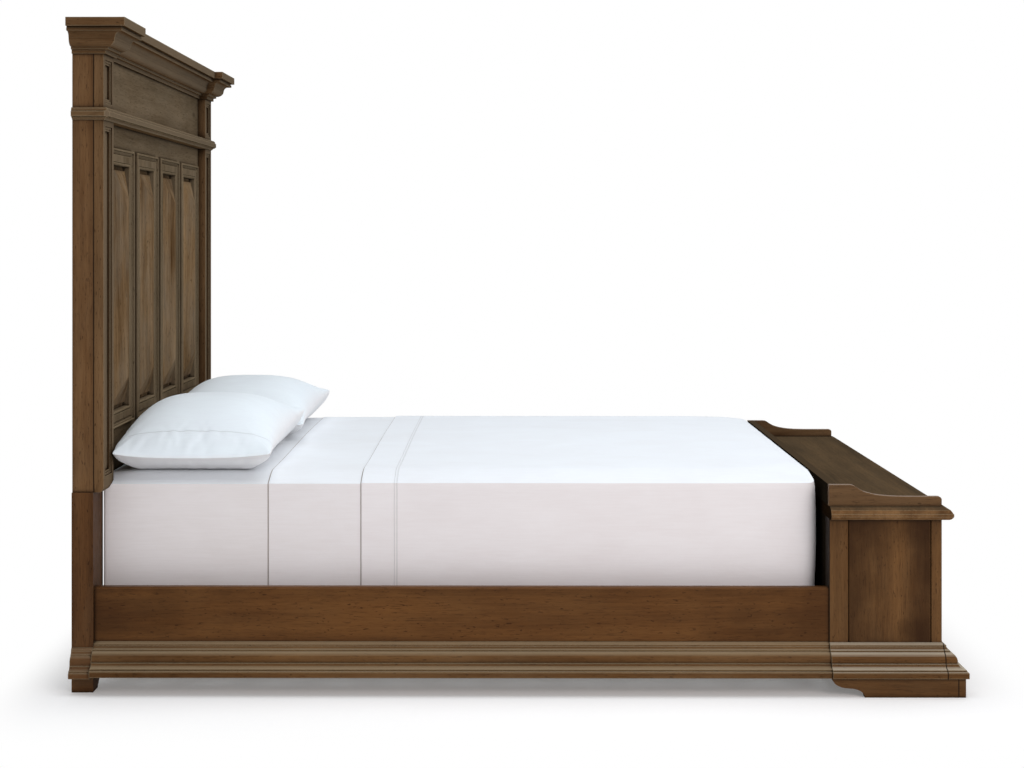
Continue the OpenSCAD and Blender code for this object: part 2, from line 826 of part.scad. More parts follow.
// A gallery's outline from its high end: flat, a rounded shoulder and a long
// hollow sweep. The sweep is given in shares of its length and height.
function gallery_outline() =
    let (drop = gallery_h - gallery_low, nose = 8)
    concat(
        [[0, 0], [0, gallery_h]],
        [for (q = [[0, 1], [0.04, 0.97], [0.08, 0.89], [0.12, 0.76], [0.17, 0.61], [0.23, 0.46],
            [0.3, 0.34], [0.38, 0.24], [0.48, 0.15], [0.6, 0.08], [0.75, 0.03], [1, 0]])
            [gallery_flat + q[0] * gallery_sweep, gallery_low + q[1] * drop]],
        arc(bench_d - nose, gallery_low - nose, nose, nose, 90, 0, 6),
        [[bench_d, 0]]);

module galleries() {
    color("saddlebrown") both() translate([foot_x, side_y, bench_h]) rotate([90, 0, 0])
        linear_extrude(gallery_t) polygon(gallery_outline());
}

module bench_mouldings() {
    pts = base_profile(base_p, base_z, base_h);
    color("sienna") union() {
        both() translate([foot_x, side_y, 0]) run(pts, bench_d, 0, 1);
        translate([end_x, 0, 0]) run_across(pts, 2 * side_y, 1, 1);
    }
}

// Outline of a bracket foot's face, with a scroll of two quarter rounds at its
// inner end
function bracket_outline(length) =
    let (lip = 3, h = base_z - lip, half = 0.52 * scroll_l)
    concat(
        [[0, base_z]],
        [for (a = [0 : 15 : 90]) [half * (1 - cos(a)), h * (1 - sin(a) / 2)]],
        [for (a = [15 : 15 : 90]) [half + (scroll_l - half) * sin(a), h * cos(a) / 2]],
        [[length, 0], [length, base_z]]);

module bracket_feet() {
    out = base_p - bracket_set;
    wide = 230;
    color("peru") both() union() {
        translate([foot_x, side_y + out, 0]) rotate([90, 0, 0]) linear_extrude(bracket_t)
            polygon(bracket_outline(bench_d + out));
        translate([end_x + out - bracket_t, side_y + out - wide, 0]) rotate([90, 0, 90])
            linear_extrude(bracket_t) polygon(bracket_outline(wide));
    }
}

// ---- drawers ----

// The right drawer's side of the bench is +Y. A slide is drawn as (in from the
// carcass, up) and stands on both sides of the drawer.
module slide_pair(pts, x) {
    for (y = [divider_w / 2, bench_in]) translate([x, y, slide_z])
        mirror([0, y > open_y / 2 ? 1 : 0, 0]) rotate([90, 0, 90]) linear_extrude(slide_l)
            polygon(pts);
}

// A channel from depth a to b with its web of wall w at depth a or b
function channel(a, b, h, flange, web_at_a) =
    let (x0 = web_at_a ? a : b, x1 = web_at_a ? b : a, w = web_at_a ? slide_wall : -slide_wall)
    [[x0, -h], [x1, -h], [x1, -h + flange], [x0 + w, -h + flange], [x0 + w, h - flange],
        [x1, h - flange], [x1, h], [x0, h]];

module slide_outers() {
    color("silver") both()
        slide_pair(channel(0, slide_w - 4, slide_h / 2, slide_wall, true), slide_x);
}

module slide_mid() {
    color("gainsboro")
        slide_pair(channel(3, slide_w - 4, slide_h / 2 - slide_wall, raceway, true), slide_x);
}

module slide_mid_left() {
    mirror([0, 1, 0]) slide_mid();
}

module slide_mid_right() {
    slide_mid();
}

module slide_inner() {
    h = slide_h / 2 - slide_wall - raceway;
    color("silver") slide_pair(channel(6, slide_w, h, raceway, false), slide_x);
}

module slide_inner_left() {
    mirror([0, 1, 0]) slide_inner();
}

module slide_inner_right() {
    slide_inner();
}

// A drawer's front with a bead round it and the holes for its pulls' screws
module drawer_front() {
    y0 = divider_w / 2 + drawer_gap;
    y1 = bench_in - drawer_gap;
    z0 = drawer_z + drawer_gap;
    z1 = drawer_z + drawer_h - drawer_gap;
    bead = concat([[0, -1]], arc(bead_w / 2, 0, bead_w / 2, bead_p, 180, 0, 6), [[bead_w, -1]]);
    color("sienna") difference() {
        union() {
            box([end_x - front_t, y0, z0], [end_x, y1, z1]);
            translate([end_x, y0, z0]) ring_of(bead, y1 - y0, z1 - z0);
        }
        pull_places() both() translate([end_x - pull_screw_l, pull_c / 2, 0]) rotate([0, 90, 0])
            cylinder(h = 2 * pull_screw_l, d = pull_screw_d + pin_fit);
    }
}

module drawer_front_left() {
    mirror([0, 1, 0]) drawer_front();
}

module drawer_front_right() {
    drawer_front();
}

// A drawer's box, with a groove for its bottom
module drawer_box() {
    y0 = divider_w / 2 + slide_w;
    y1 = bench_in - slide_w;
    color("wheat") difference() {
        box([box_x, y0, box_z], [end_x - front_t, y1, box_z + box_h]);
        box([box_x + box_t, y0 + box_t, box_z - 1],
            [end_x - front_t - box_t, y1 - box_t, box_z + box_h + 1]);
        drawer_bottom();
    }
}

module drawer_box_left() {
    mirror([0, 1, 0]) drawer_box();
}

module drawer_box_right() {
    drawer_box();
}

module drawer_bottom() {
    e = box_t - groove;
    color("tan") box([box_x + e, divider_w / 2 + slide_w + e, box_z + bottom_up],
        [end_x - front_t - e, bench_in - slide_w - e, box_z + bottom_up + bottom_t]);
}

module drawer_bottom_left() {
    mirror([0, 1, 0]) drawer_bottom();
}

module drawer_bottom_right() {
    drawer_bottom();
}

// The middle of each pull on the right drawer
module pull_places() {
    for (y = [-pull_y, pull_y]) translate([0, (divider_w / 2 + bench_in) / 2 + y, pull_z])
        children();
}

// A pull's posts with their rosettes, and the bumper that the bail hangs on
module pull_posts() {
    color("goldenrod") {
        both() translate([end_x, pull_c / 2, 0]) difference() {
            rotate([0, 90, 0]) union() {
                translate([0, 0, -pull_screw_l]) cylinder(h = pull_screw_l + 1, d = pull_screw_d);
                cylinder(h = rosette_t, d = rosette_d);
                cylinder(h = pull_out + pull_post_d / 2, d = pull_post_d);
            }
            translate([pull_out, 0, 0]) rotate([90, 0, 0])
                cylinder(h = 2 * pull_post_d, d = pin_d + pin_fit, center = true);
        }
        translate([end_x, 0, -bail_drop]) rotate([0, 90, 0])
            cylinder(h = pull_out - bail_d / 2 - soft_gap, d = bumper_d);
    }
}

module pulls_right() {
    pull_places() pull_posts();
}

module pulls_left() {
    mirror([0, 1, 0]) pulls_right();
}

// A bail that hangs from two pins, at pull i of the right drawer
module bail(i) {
    arm = pull_c / 2 + pull_post_d / 2 + 1 + bail_d / 2;
    color("gold") translate([end_x + pull_out,
        (divider_w / 2 + bench_in) / 2 + (i == 0 ? -pull_y : pull_y), pull_z]) {
        both() {
            translate([0, arm, 0]) rotate([90, 0, 0])
                cylinder(h = pull_post_d + bail_d / 2 + 3, d = pin_d);
            translate([0, arm, -bail_drop]) cylinder(h = bail_drop, d = bail_d);
            translate([0, arm, 0]) sphere(d = bail_d);
            translate([0, arm, -bail_drop]) sphere(d = bail_d);
        }
        translate([0, 0, -bail_drop]) rotate([90, 0, 0])
            cylinder(h = 2 * arm, d = bail_d, center = true);
    }
}

module bail_right_1() {
    bail(0);
}

module bail_right_2() {
    bail(1);
}

module bail_left_1() {
    mirror([0, 1, 0]) bail(0);
}

module bail_left_2() {
    mirror([0, 1, 0]) bail(1);
}

// ---- bedding ----

// Outline of the mattress, drawn in by inset, as [x, y, normal x, normal y]:
// from x0 on its -Y side round the foot end to x0 on its +Y side
function corner_r(inset) = mattress_r - inset * (mattress_r - 20) / edge_w;
function mattress_path(x0, inset) =
    let (r = corner_r(inset), y = mattress_w / 2 - inset, x1 = mattress_end - inset)
    concat(
        [[x0, -y, 0, -1]],
        [for (a = [-90 : 15 : 0]) [x1 - r + r * cos(a), r - y + r * sin(a), cos(a), sin(a)]],
        [for (a = [0 : 15 : 90]) [x1 - r + r * cos(a), y - r + r * sin(a), cos(a), sin(a)]],
        [[x0, y, 0, 1]]);

// Steps up the mattress edge as [angle], out of the side and over to the top
edge_steps = [for (i = [0 : 6]) 15 * i];
function edge_inset(a) = edge_w * (1 - cos(a));
function edge_z(a) = bed_z - edge_h * (1 - sin(a));

// A closed solid through rings of points that wind anticlockwise from above
module loft(rings) {
    n = len(rings[0]);
    m = len(rings);
    sides = [for (i = [0 : m - 2]) for (j = [0 : n - 1])
        let (a = i * n + j, b = i * n + (j + 1) % n)
        each [[a, a + n, b + n], [a, b + n, b]]];
    low = [for (j = [1 : n - 2]) [0, j, j + 1]];
    high = [for (j = [1 : n - 2]) [(m - 1) * n, (m - 1) * n + j + 1, (m - 1) * n + j]];
    polyhedron([for (r = rings) each r], concat(sides, low, high));
}

// The mattress's closed outline, drawn in by inset, at height z, with head corners
// of radius head_r
function mattress_ring(inset, z, head_r) =
    let (r = max(20, head_r - inset), x0 = mattress_x + inset + r,
        y = mattress_w / 2 - inset - r)
    concat(
        [for (p = mattress_path(x0, inset)) [p[0], p[1], z]],
        [for (p = arc(x0, y, r, r, 105, 180, 5)) [p[0], p[1], z]],
        [for (p = arc(x0, -y, r, r, 180, 255, 5)) [p[0], p[1], z]]);

module foundation() {
    color("lightgray") loft([for (z = [foundation_z, mattress_z])
        mattress_ring(0, z, tuck_low_r)]);
}

module mattress() {
    foot = [[6, 0], [0, 8]];
    color("white") loft(concat(
        [for (q = foot) mattress_ring(q[0], mattress_z + q[1], tuck_low_r)],
        [mattress_ring(0, tuck_z, tuck_low_r), mattress_ring(0, tuck_z + tuck_h, tuck_r)],
        [for (a = edge_steps) mattress_ring(edge_inset(a), edge_z(a), tuck_r)]));
}

// A sheet over the mattress and down its sides, from off to off + t above it
module sheet(length, off, t) {
    x0 = mattress_end - length;
    hem = mattress_z - hem_down;
    // The mattress's outline at edge step a, moved out along the normal by d
    function row(a, z, d) = [for (p = mattress_path(x0, edge_inset(a)))
        [p[0] + p[2] * d * cos(a), p[1] + p[3] * d * cos(a), z + d * sin(a)]];
    function rows(d) = concat([row(0, hem, d)], [for (a = edge_steps) row(a, edge_z(a), d)]);
    outer = rows(off + t);
    inner = rows(off);
    n = len(outer[0]);
    m = len(outer);
    k = n * m;
    skin = [for (i = [0 : m - 2]) for (j = [0 : n - 2]) let (a = i * n + j)
        each [[a, a + n, a + n + 1], [a, a + n + 1, a + 1]]];
    cap = [for (j = [1 : n - 2]) [(m - 1) * n, (m - 1) * n + j + 1, (m - 1) * n + j]];
    hem_edge = [for (j = [0 : n - 2]) each [[j, j + 1, k + j + 1], [j, k + j + 1, k + j]]];
    near = [for (i = [0 : m - 2]) let (a = i * n)
        each [[a, k + a, k + a + n], [a, k + a + n, a + n]]];
    far = [for (i = [0 : m - 2]) let (a = i * n + n - 1)
        each [[a, a + n, k + a + n], [a, k + a + n, k + a]]];
    across = let (a = (m - 1) * n, b = a + n - 1) [[a, k + a, k + b], [a, k + b, b]];
    polyhedron([each each outer, each each inner], concat(skin, cap,
        [for (f = concat(skin, cap)) [f[0] + k, f[2] + k, f[1] + k]], hem_edge, near, far,
        across));
}

module flat_sheet() {
    color("aliceblue") sheet(flat_sheet_l, soft_gap, flat_sheet_t);
}

module top_sheet() {
    color("white") sheet(top_sheet_l, 2 * soft_gap + flat_sheet_t, top_sheet_t);
}

// A pillow on the mattress with its middle at the origin: full in the middle,
// thin at its seam, with slack corners
module pillow() {
    n = 24;
    function half(v) = pow(1 - pow(abs(v), 2.6), 0.62);
    function seam(v) = pillow_seam + (pillow_seam_far - pillow_seam) * (v + 1) / 2;
    function ring(v) = [for (j = [0 : n - 1])
        let (a = 360 * j / n, c = cos(a), s = sin(a), full = 0.07 + 0.93 * half(v),
            w = pillow_l / 2 * (1 - 0.03 * pow(abs(v), 3)),
            x = w * sign(c) * pow(abs(c), 0.8),
            up = (pillow_h - seam(v)) * full * pow(abs(s), 0.95),
            down = (seam(v) - soft_gap) * full * pow(abs(s), 0.5))
        [x, v * pillow_w / 2, seam(v) + (s < 0 ? -down : up)]];
    loft([for (v = [-1, -0.985, -0.95, -0.88, -0.75, -0.5, -0.2, 0.2, 0.5, 0.75, 0.88, 0.95,
        0.985, 1]) [for (q = ring(v)) q]]);
}

// Two pillows side by side, square to the headboard
module pillows() {
    x = head_x + pillow_back + pillow_l / 2;
    y = -post_in + pillow_side + pillow_w / 2;
    color("white") for (i = [0, 1])
        translate([x, y + i * (pillow_w + pillow_gap), bed_z]) pillow();
}

posts();
legs();
leg_feet();
leg_mouldings();
pilasters();
head_rails();
head_stiles();
panels();
panel_mouldings();
frieze();
mid_moulding();
cornice();
cornice_blocks();
cap_board();
head_back();
stretcher();
side_rails();
rail_mouldings();
cleats();
hook_plates();
hook_sockets();
slats();
slat_screws();
centre_rail();
centre_hangers();
centre_legs();
glides();
bench_posts();
bench_sides();
bench_back();
bench_bottom();
divider();
face_frame();
runner_blocks();
bench_top();
galleries();
bench_mouldings();
bracket_feet();
slide_outers();
slide_mid_left();
slide_mid_right();
slide_inner_left();
slide_inner_right();
drawer_front_left();
drawer_front_right();
drawer_box_left();
drawer_box_right();
drawer_bottom_left();
drawer_bottom_right();
pulls_left();
pulls_right();
bail_left_1();
bail_left_2();
bail_right_1();
bail_right_2();
foundation();
mattress();
flat_sheet();
top_sheet();
pillows();
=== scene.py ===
import math

import bpy
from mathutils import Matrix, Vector, noise


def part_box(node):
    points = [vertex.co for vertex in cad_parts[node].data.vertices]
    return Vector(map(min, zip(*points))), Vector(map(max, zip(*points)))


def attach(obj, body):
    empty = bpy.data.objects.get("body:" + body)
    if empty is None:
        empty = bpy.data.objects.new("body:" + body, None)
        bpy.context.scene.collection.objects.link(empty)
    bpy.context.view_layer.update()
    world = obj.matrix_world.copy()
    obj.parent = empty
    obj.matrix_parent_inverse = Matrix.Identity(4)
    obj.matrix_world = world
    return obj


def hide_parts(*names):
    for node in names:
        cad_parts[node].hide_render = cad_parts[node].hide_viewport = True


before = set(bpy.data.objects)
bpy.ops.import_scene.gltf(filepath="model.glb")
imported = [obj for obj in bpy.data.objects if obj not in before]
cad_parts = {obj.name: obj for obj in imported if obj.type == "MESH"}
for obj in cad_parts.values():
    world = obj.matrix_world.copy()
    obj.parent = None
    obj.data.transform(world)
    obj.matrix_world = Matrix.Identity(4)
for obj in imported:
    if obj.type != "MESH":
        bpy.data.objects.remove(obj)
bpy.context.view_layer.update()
bpy.ops.object.select_all(action="DESELECT")
scene = bpy.context.scene
scene.view_settings.view_transform = "Standard"


# Camera
# Level tripod shot from the side of the bed, a little over the mattress, with
# the lens shifted down so that uprights stay upright.
tripod = (-0.0067, -5.7273, 1.2738)
level, yaw = math.radians(90), math.radians(0.21)
bpy.ops.object.camera_add(location=tripod, rotation=(level, 0, yaw))
camera = bpy.context.object
camera.name = "studio_camera"
camera.data.lens = 61.18
camera.data.shift_x, camera.data.shift_y = 0.003, -0.1438
scene.camera = camera


# Studio: floor, sky and lamps
# A pale painted floor that fades to white round the bed's shadow, a white sky,
# one large softbox overhead towards the foot and one beside the camera.
def add(tree, kind, sockets=None, **settings):
    """A shader node with its settings made and its sockets set or linked."""
    made = tree.nodes.new("ShaderNode" + kind)
    for key, value in settings.items():
        setattr(made, key, value)
    for key, value in (sockets or {}).items():
        if isinstance(value, bpy.types.NodeSocket):
            tree.links.new(value, made.inputs[key])
        else:
            made.inputs[key].default_value = value
    return made


def calc(tree, operation, a, b=0.0, clamp=False):
    """What a Math node puts out."""
    return add(tree, "Math", {0: a, 1: b}, operation=operation, use_clamp=clamp).outputs[0]


def blank_material(name):
    material = bpy.data.materials.new(name)
    material.use_nodes = True
    material.node_tree.nodes.clear()
    return material, material.node_tree


def white_rays(tree):
    """1 for rays that should meet a white background: from the camera, metal and glass."""
    path = add(tree, "LightPath")
    shiny = calc(tree, "MAXIMUM", path.outputs["Is Glossy Ray"],
                 path.outputs["Is Transmission Ray"])
    return calc(tree, "MAXIMUM", path.outputs["Is Camera Ray"], shiny), path


world = bpy.data.worlds.new("studio_sky")
scene.world = world
world.use_nodes = True
sky = world.node_tree
sky.nodes.clear()
rays, _ = white_rays(sky)
soft = add(sky, "Background", {"Color": (0.93, 0.96, 1, 1), "Strength": 0.5})
white = add(sky, "Background", {"Color": (1, 1, 1, 1), "Strength": 1})
both_skies = add(sky, "MixShader", {0: rays, 1: soft.outputs[0], 2: white.outputs[0]})
add(sky, "OutputWorld", {"Surface": both_skies.outputs[0]})

bpy.ops.mesh.primitive_plane_add(size=60, location=(0, 0, 0))
floor = bpy.context.object
floor.name = "studio_floor"
floor_paint, t = blank_material("studio_floor_paint")
place = add(t, "TexCoord").outputs["Object"]
part = add(t, "SeparateXYZ", {0: place}).outputs


def beyond(axis, half, steep):
    """How far a point of the floor lies outside the bed's half size, times a steepness."""
    outside = calc(t, "SUBTRACT", calc(t, "ABSOLUTE", part[axis]), half)
    return calc(t, "MULTIPLY", calc(t, "MAXIMUM", outside, 0.0), steep)


past_end = beyond("X", half=1.22, steep=1.9)
past_side = beyond("Y", half=0.90, steep=1.0)
far = calc(t, "SQRT", calc(t, "ADD", calc(t, "POWER", past_end, 2.0),
                           calc(t, "POWER", past_side, 2.0)))
fade = add(t, "MapRange", {"Value": far, "From Min": 0.0, "From Max": 0.5},
           interpolation_type="SMOOTHSTEP").outputs[0]
mottle = add(t, "TexNoise", {"Vector": place, "Scale": 3.0, "Detail": 2.0}).outputs[0]
shade = add(t, "MapRange", {"Value": mottle, "To Min": 0.86, "To Max": 0.89}).outputs[0]
grey = add(t, "CombineColor", {0: shade, 1: shade, 2: shade}).outputs[0]
matt = add(t, "BsdfDiffuse", {"Color": grey})
lift = add(t, "Emission", {"Color": (1, 0.98, 0.96, 1), "Strength": 0.18})
lit = add(t, "AddShader", {0: matt.outputs[0], 1: lift.outputs[0]})
pure = add(t, "Emission", {"Color": (1, 1, 1, 1), "Strength": 1})
rays, path = white_rays(t)
near_floor = add(t, "MixShader", {0: path.outputs["Is Camera Ray"], 1: matt.outputs[0],
                                  2: lit.outputs[0]})
far_floor = add(t, "MixShader", {0: calc(t, "MULTIPLY", rays, fade),
                                 1: near_floor.outputs[0], 2: pure.outputs[0]})
add(t, "OutputMaterial", {"Surface": far_floor.outputs[0]})
floor.data.materials.append(floor_paint)

for name, place, turn, size, power, tint in (
        ("softbox_over", (0.7, -0.6, 4.4), (0, 0, 0), (5.0, 4.0), 112, (0.95, 0.98, 1)),
        ("softbox_side", (2.6, -5.2, 2.6), (62, 0, 28), (2.6, 2.0), 84, (1, 0.90, 0.875))):
    bpy.ops.object.light_add(type="AREA", location=place,
                             rotation=[math.radians(a) for a in turn])
    lamp = bpy.context.object
    lamp.name = name
    lamp.data.shape = "RECTANGLE"
    lamp.data.size, lamp.data.size_y = size
    lamp.data.energy = power
    lamp.data.color = tint


# Headboard posts and pilasters
# Solid hardwood posts with a butted pilaster on the bed side of each, the
# pilasters with sunk panels. Stained brown, with painted shade, which also stands
# for glaze, darker in the corners.
def new_group(name, inputs, outputs):
    """An empty shader group with its named sockets, and its two ends."""
    group = bpy.data.node_groups.new(name, "ShaderNodeTree")
    for label, kind, default in inputs:
        socket = group.interface.new_socket(label, in_out="INPUT",
                                            socket_type="NodeSocket" + kind)
        socket.default_value = default
    for label, kind in outputs:
        group.interface.new_socket(label, in_out="OUTPUT", socket_type="NodeSocket" + kind)
    return group, group.nodes.new("NodeGroupInput").outputs, group.nodes.new("NodeGroupOutput")


def give(tree, sink, **sockets):
    """Link values to a group's outputs by name."""
    for label, socket in sockets.items():
        tree.links.new(socket, sink.inputs[label])


def blend_colour(tree, factor, a, b, mode="MIX"):
    """Colour a where the factor is 0 and b where it is 1."""
    return add(tree, "Mix", {0: factor, 6: a, 7: b}, data_type="RGBA",
               blend_type=mode).outputs[2]


def stretch(tree, vector, x, y, z):
    """A place times x, y and z, which sets how fine a pattern is along each axis."""
    return add(tree, "VectorMath", {0: vector, 1: (x, y, z)}, operation="MULTIPLY").outputs[0]


def spread(tree, value, low, high, to_low=0.0, to_high=1.0):
    """A value's range from low to high drawn out to another range, and held at its ends."""
    return add(tree, "MapRange", {"Value": value, "From Min": low, "From Max": high,
                                  "To Min": to_low, "To Max": to_high}).outputs[0]


# Grain along the group's X: slow cloudy changes, long streaks, pores and knots
grain, gi, go = new_group(
    "Wood grain",
    [("Vector", "Vector", (0, 0, 0)), ("Dark", "Color", (0, 0, 0, 1)),
     ("Light", "Color", (1, 1, 1, 1)), ("Haze", "Color", (0.2, 0.2, 0.2, 1)),
     ("Haze amount", "Float", 0.3), ("Figure", "Float", 1.0)],
    [("Color", "Color"), ("Roughness", "Float"), ("Height", "Float")])
warp = add(grain, "TexNoise", {"Vector": stretch(grain, gi["Vector"], 0.8, 3, 3),
                               "Scale": 1.0, "Detail": 2.0}).outputs[1]
warp = add(grain, "VectorMath", {0: warp, 1: (-0.5, -0.5, -0.5)}, operation="ADD").outputs[0]
warp = stretch(grain, warp, 0.0, 0.07, 0.07)
bent = add(grain, "VectorMath", {0: gi["Vector"], 1: warp}, operation="ADD").outputs[0]
streaks = add(grain, "TexNoise", {"Vector": stretch(grain, bent, 0.9, 16, 16), "Scale": 1.0,
                                  "Detail": 7.0, "Roughness": 0.62}).outputs[0]
fibres = add(grain, "TexNoise", {"Vector": stretch(grain, bent, 5, 130, 130), "Scale": 1.0,
                                 "Detail": 4.0, "Roughness": 0.7}).outputs[0]
clouds = add(grain, "TexNoise", {"Vector": stretch(grain, gi["Vector"], 2.4, 6, 6),
                                 "Scale": 1.0, "Detail": 3.0}).outputs[0]
pores = add(grain, "TexNoise", {"Vector": stretch(grain, bent, 28, 420, 420), "Scale": 1.0,
                                "Detail": 2.0, "Roughness": 0.6}).outputs[0]
knots = add(grain, "TexVoronoi", {"Vector": stretch(grain, bent, 1.3, 3.1, 3.1),
                                  "Scale": 1.0}).outputs["Distance"]
specks = add(grain, "TexNoise", {"Vector": stretch(grain, gi["Vector"], 60, 210, 210),
                                 "Scale": 1.0, "Detail": 1.0}).outputs[0]
tone = calc(grain, "ADD", spread(grain, streaks, 0.32, 0.68, 0, 0.45),
            calc(grain, "ADD", spread(grain, clouds, 0.3, 0.7, 0, 0.30),
                 spread(grain, fibres, 0.3, 0.7, 0, 0.25)))
tone = calc(grain, "ADD", calc(grain, "MULTIPLY", calc(grain, "SUBTRACT", tone, 0.5),
                               gi["Figure"]), 0.5, clamp=True)
wood_colour = blend_colour(grain, tone, gi["Dark"], gi["Light"])
pore_mask = spread(grain, pores, 0.56, 0.7, 0, 0.5)
knot_mask = spread(grain, knots, 0.012, 0.05, 0.8, 0.0)
speck_mask = spread(grain, specks, 0.68, 0.74, 0, 0.7)
marks = calc(grain, "MAXIMUM", pore_mask, calc(grain, "MAXIMUM", knot_mask, speck_mask))
wood_colour = blend_colour(grain, marks, wood_colour,
                           blend_colour(grain, 0.55, gi["Dark"], (0.004, 0.003, 0.002, 1)))
haze_mask = add(grain, "TexNoise", {"Vector": stretch(grain, gi["Vector"], 4, 14, 14),
                                    "Scale": 1.0, "Detail": 5.0, "Roughness": 0.65}).outputs[0]
haze_mask = calc(grain, "MULTIPLY", spread(grain, haze_mask, 0.4, 0.68), gi["Haze amount"])
wood_colour = blend_colour(grain, haze_mask, wood_colour, gi["Haze"])
rough = calc(grain, "ADD", spread(grain, clouds, 0.3, 0.7, 0.36, 0.5),
             calc(grain, "MULTIPLY", marks, 0.2))
height = calc(grain, "SUBTRACT", calc(grain, "MULTIPLY", streaks, 0.35), marks)
give(grain, go, Color=wood_colour, Roughness=rough, Height=height)

# Corners are found by an occlusion mask and arrises by a bevel mask. On stained wood the
# corners get painted shade, which also stands for dark glaze, and the arrises get pale paint
# for wear and a painted highlight; on metal the corners get its patina.
occlusion_and_bevel, gi, go = new_group(
    "Occlusion in corners and bevelled edges",
    [("Reach", "Float", 0.012), ("Edge width", "Float", 0.0016)],
    [("Corners", "Float"), ("Edges", "Float"), ("Normal", "Vector")])
hollow = add(occlusion_and_bevel, "AmbientOcclusion", {"Distance": gi["Reach"]}, samples=6)
soft_edge = add(occlusion_and_bevel, "Bevel", {"Radius": gi["Edge width"]}, samples=4)
turned = add(occlusion_and_bevel, "VectorMath", {0: soft_edge.outputs[0],
                                   1: add(occlusion_and_bevel, "NewGeometry").outputs["Normal"]},
             operation="DOT_PRODUCT").outputs["Value"]
corner_mask = spread(occlusion_and_bevel, hollow.outputs["AO"], 0.45, 0.9, 1, 0)
edge_mask = calc(occlusion_and_bevel, "MULTIPLY", spread(occlusion_and_bevel, turned, 0.995, 0.9, 0, 1),
                 calc(occlusion_and_bevel, "SUBTRACT", 1.0, corner_mask))
give(occlusion_and_bevel, go, Corners=corner_mask, Edges=edge_mask, Normal=soft_edge.outputs[0])


def off_plane(tree, part, axis, place):
    """How far a point is from the plane across an axis at a place."""
    return calc(tree, "ABSOLUTE", calc(tree, "SUBTRACT", part[axis], place))


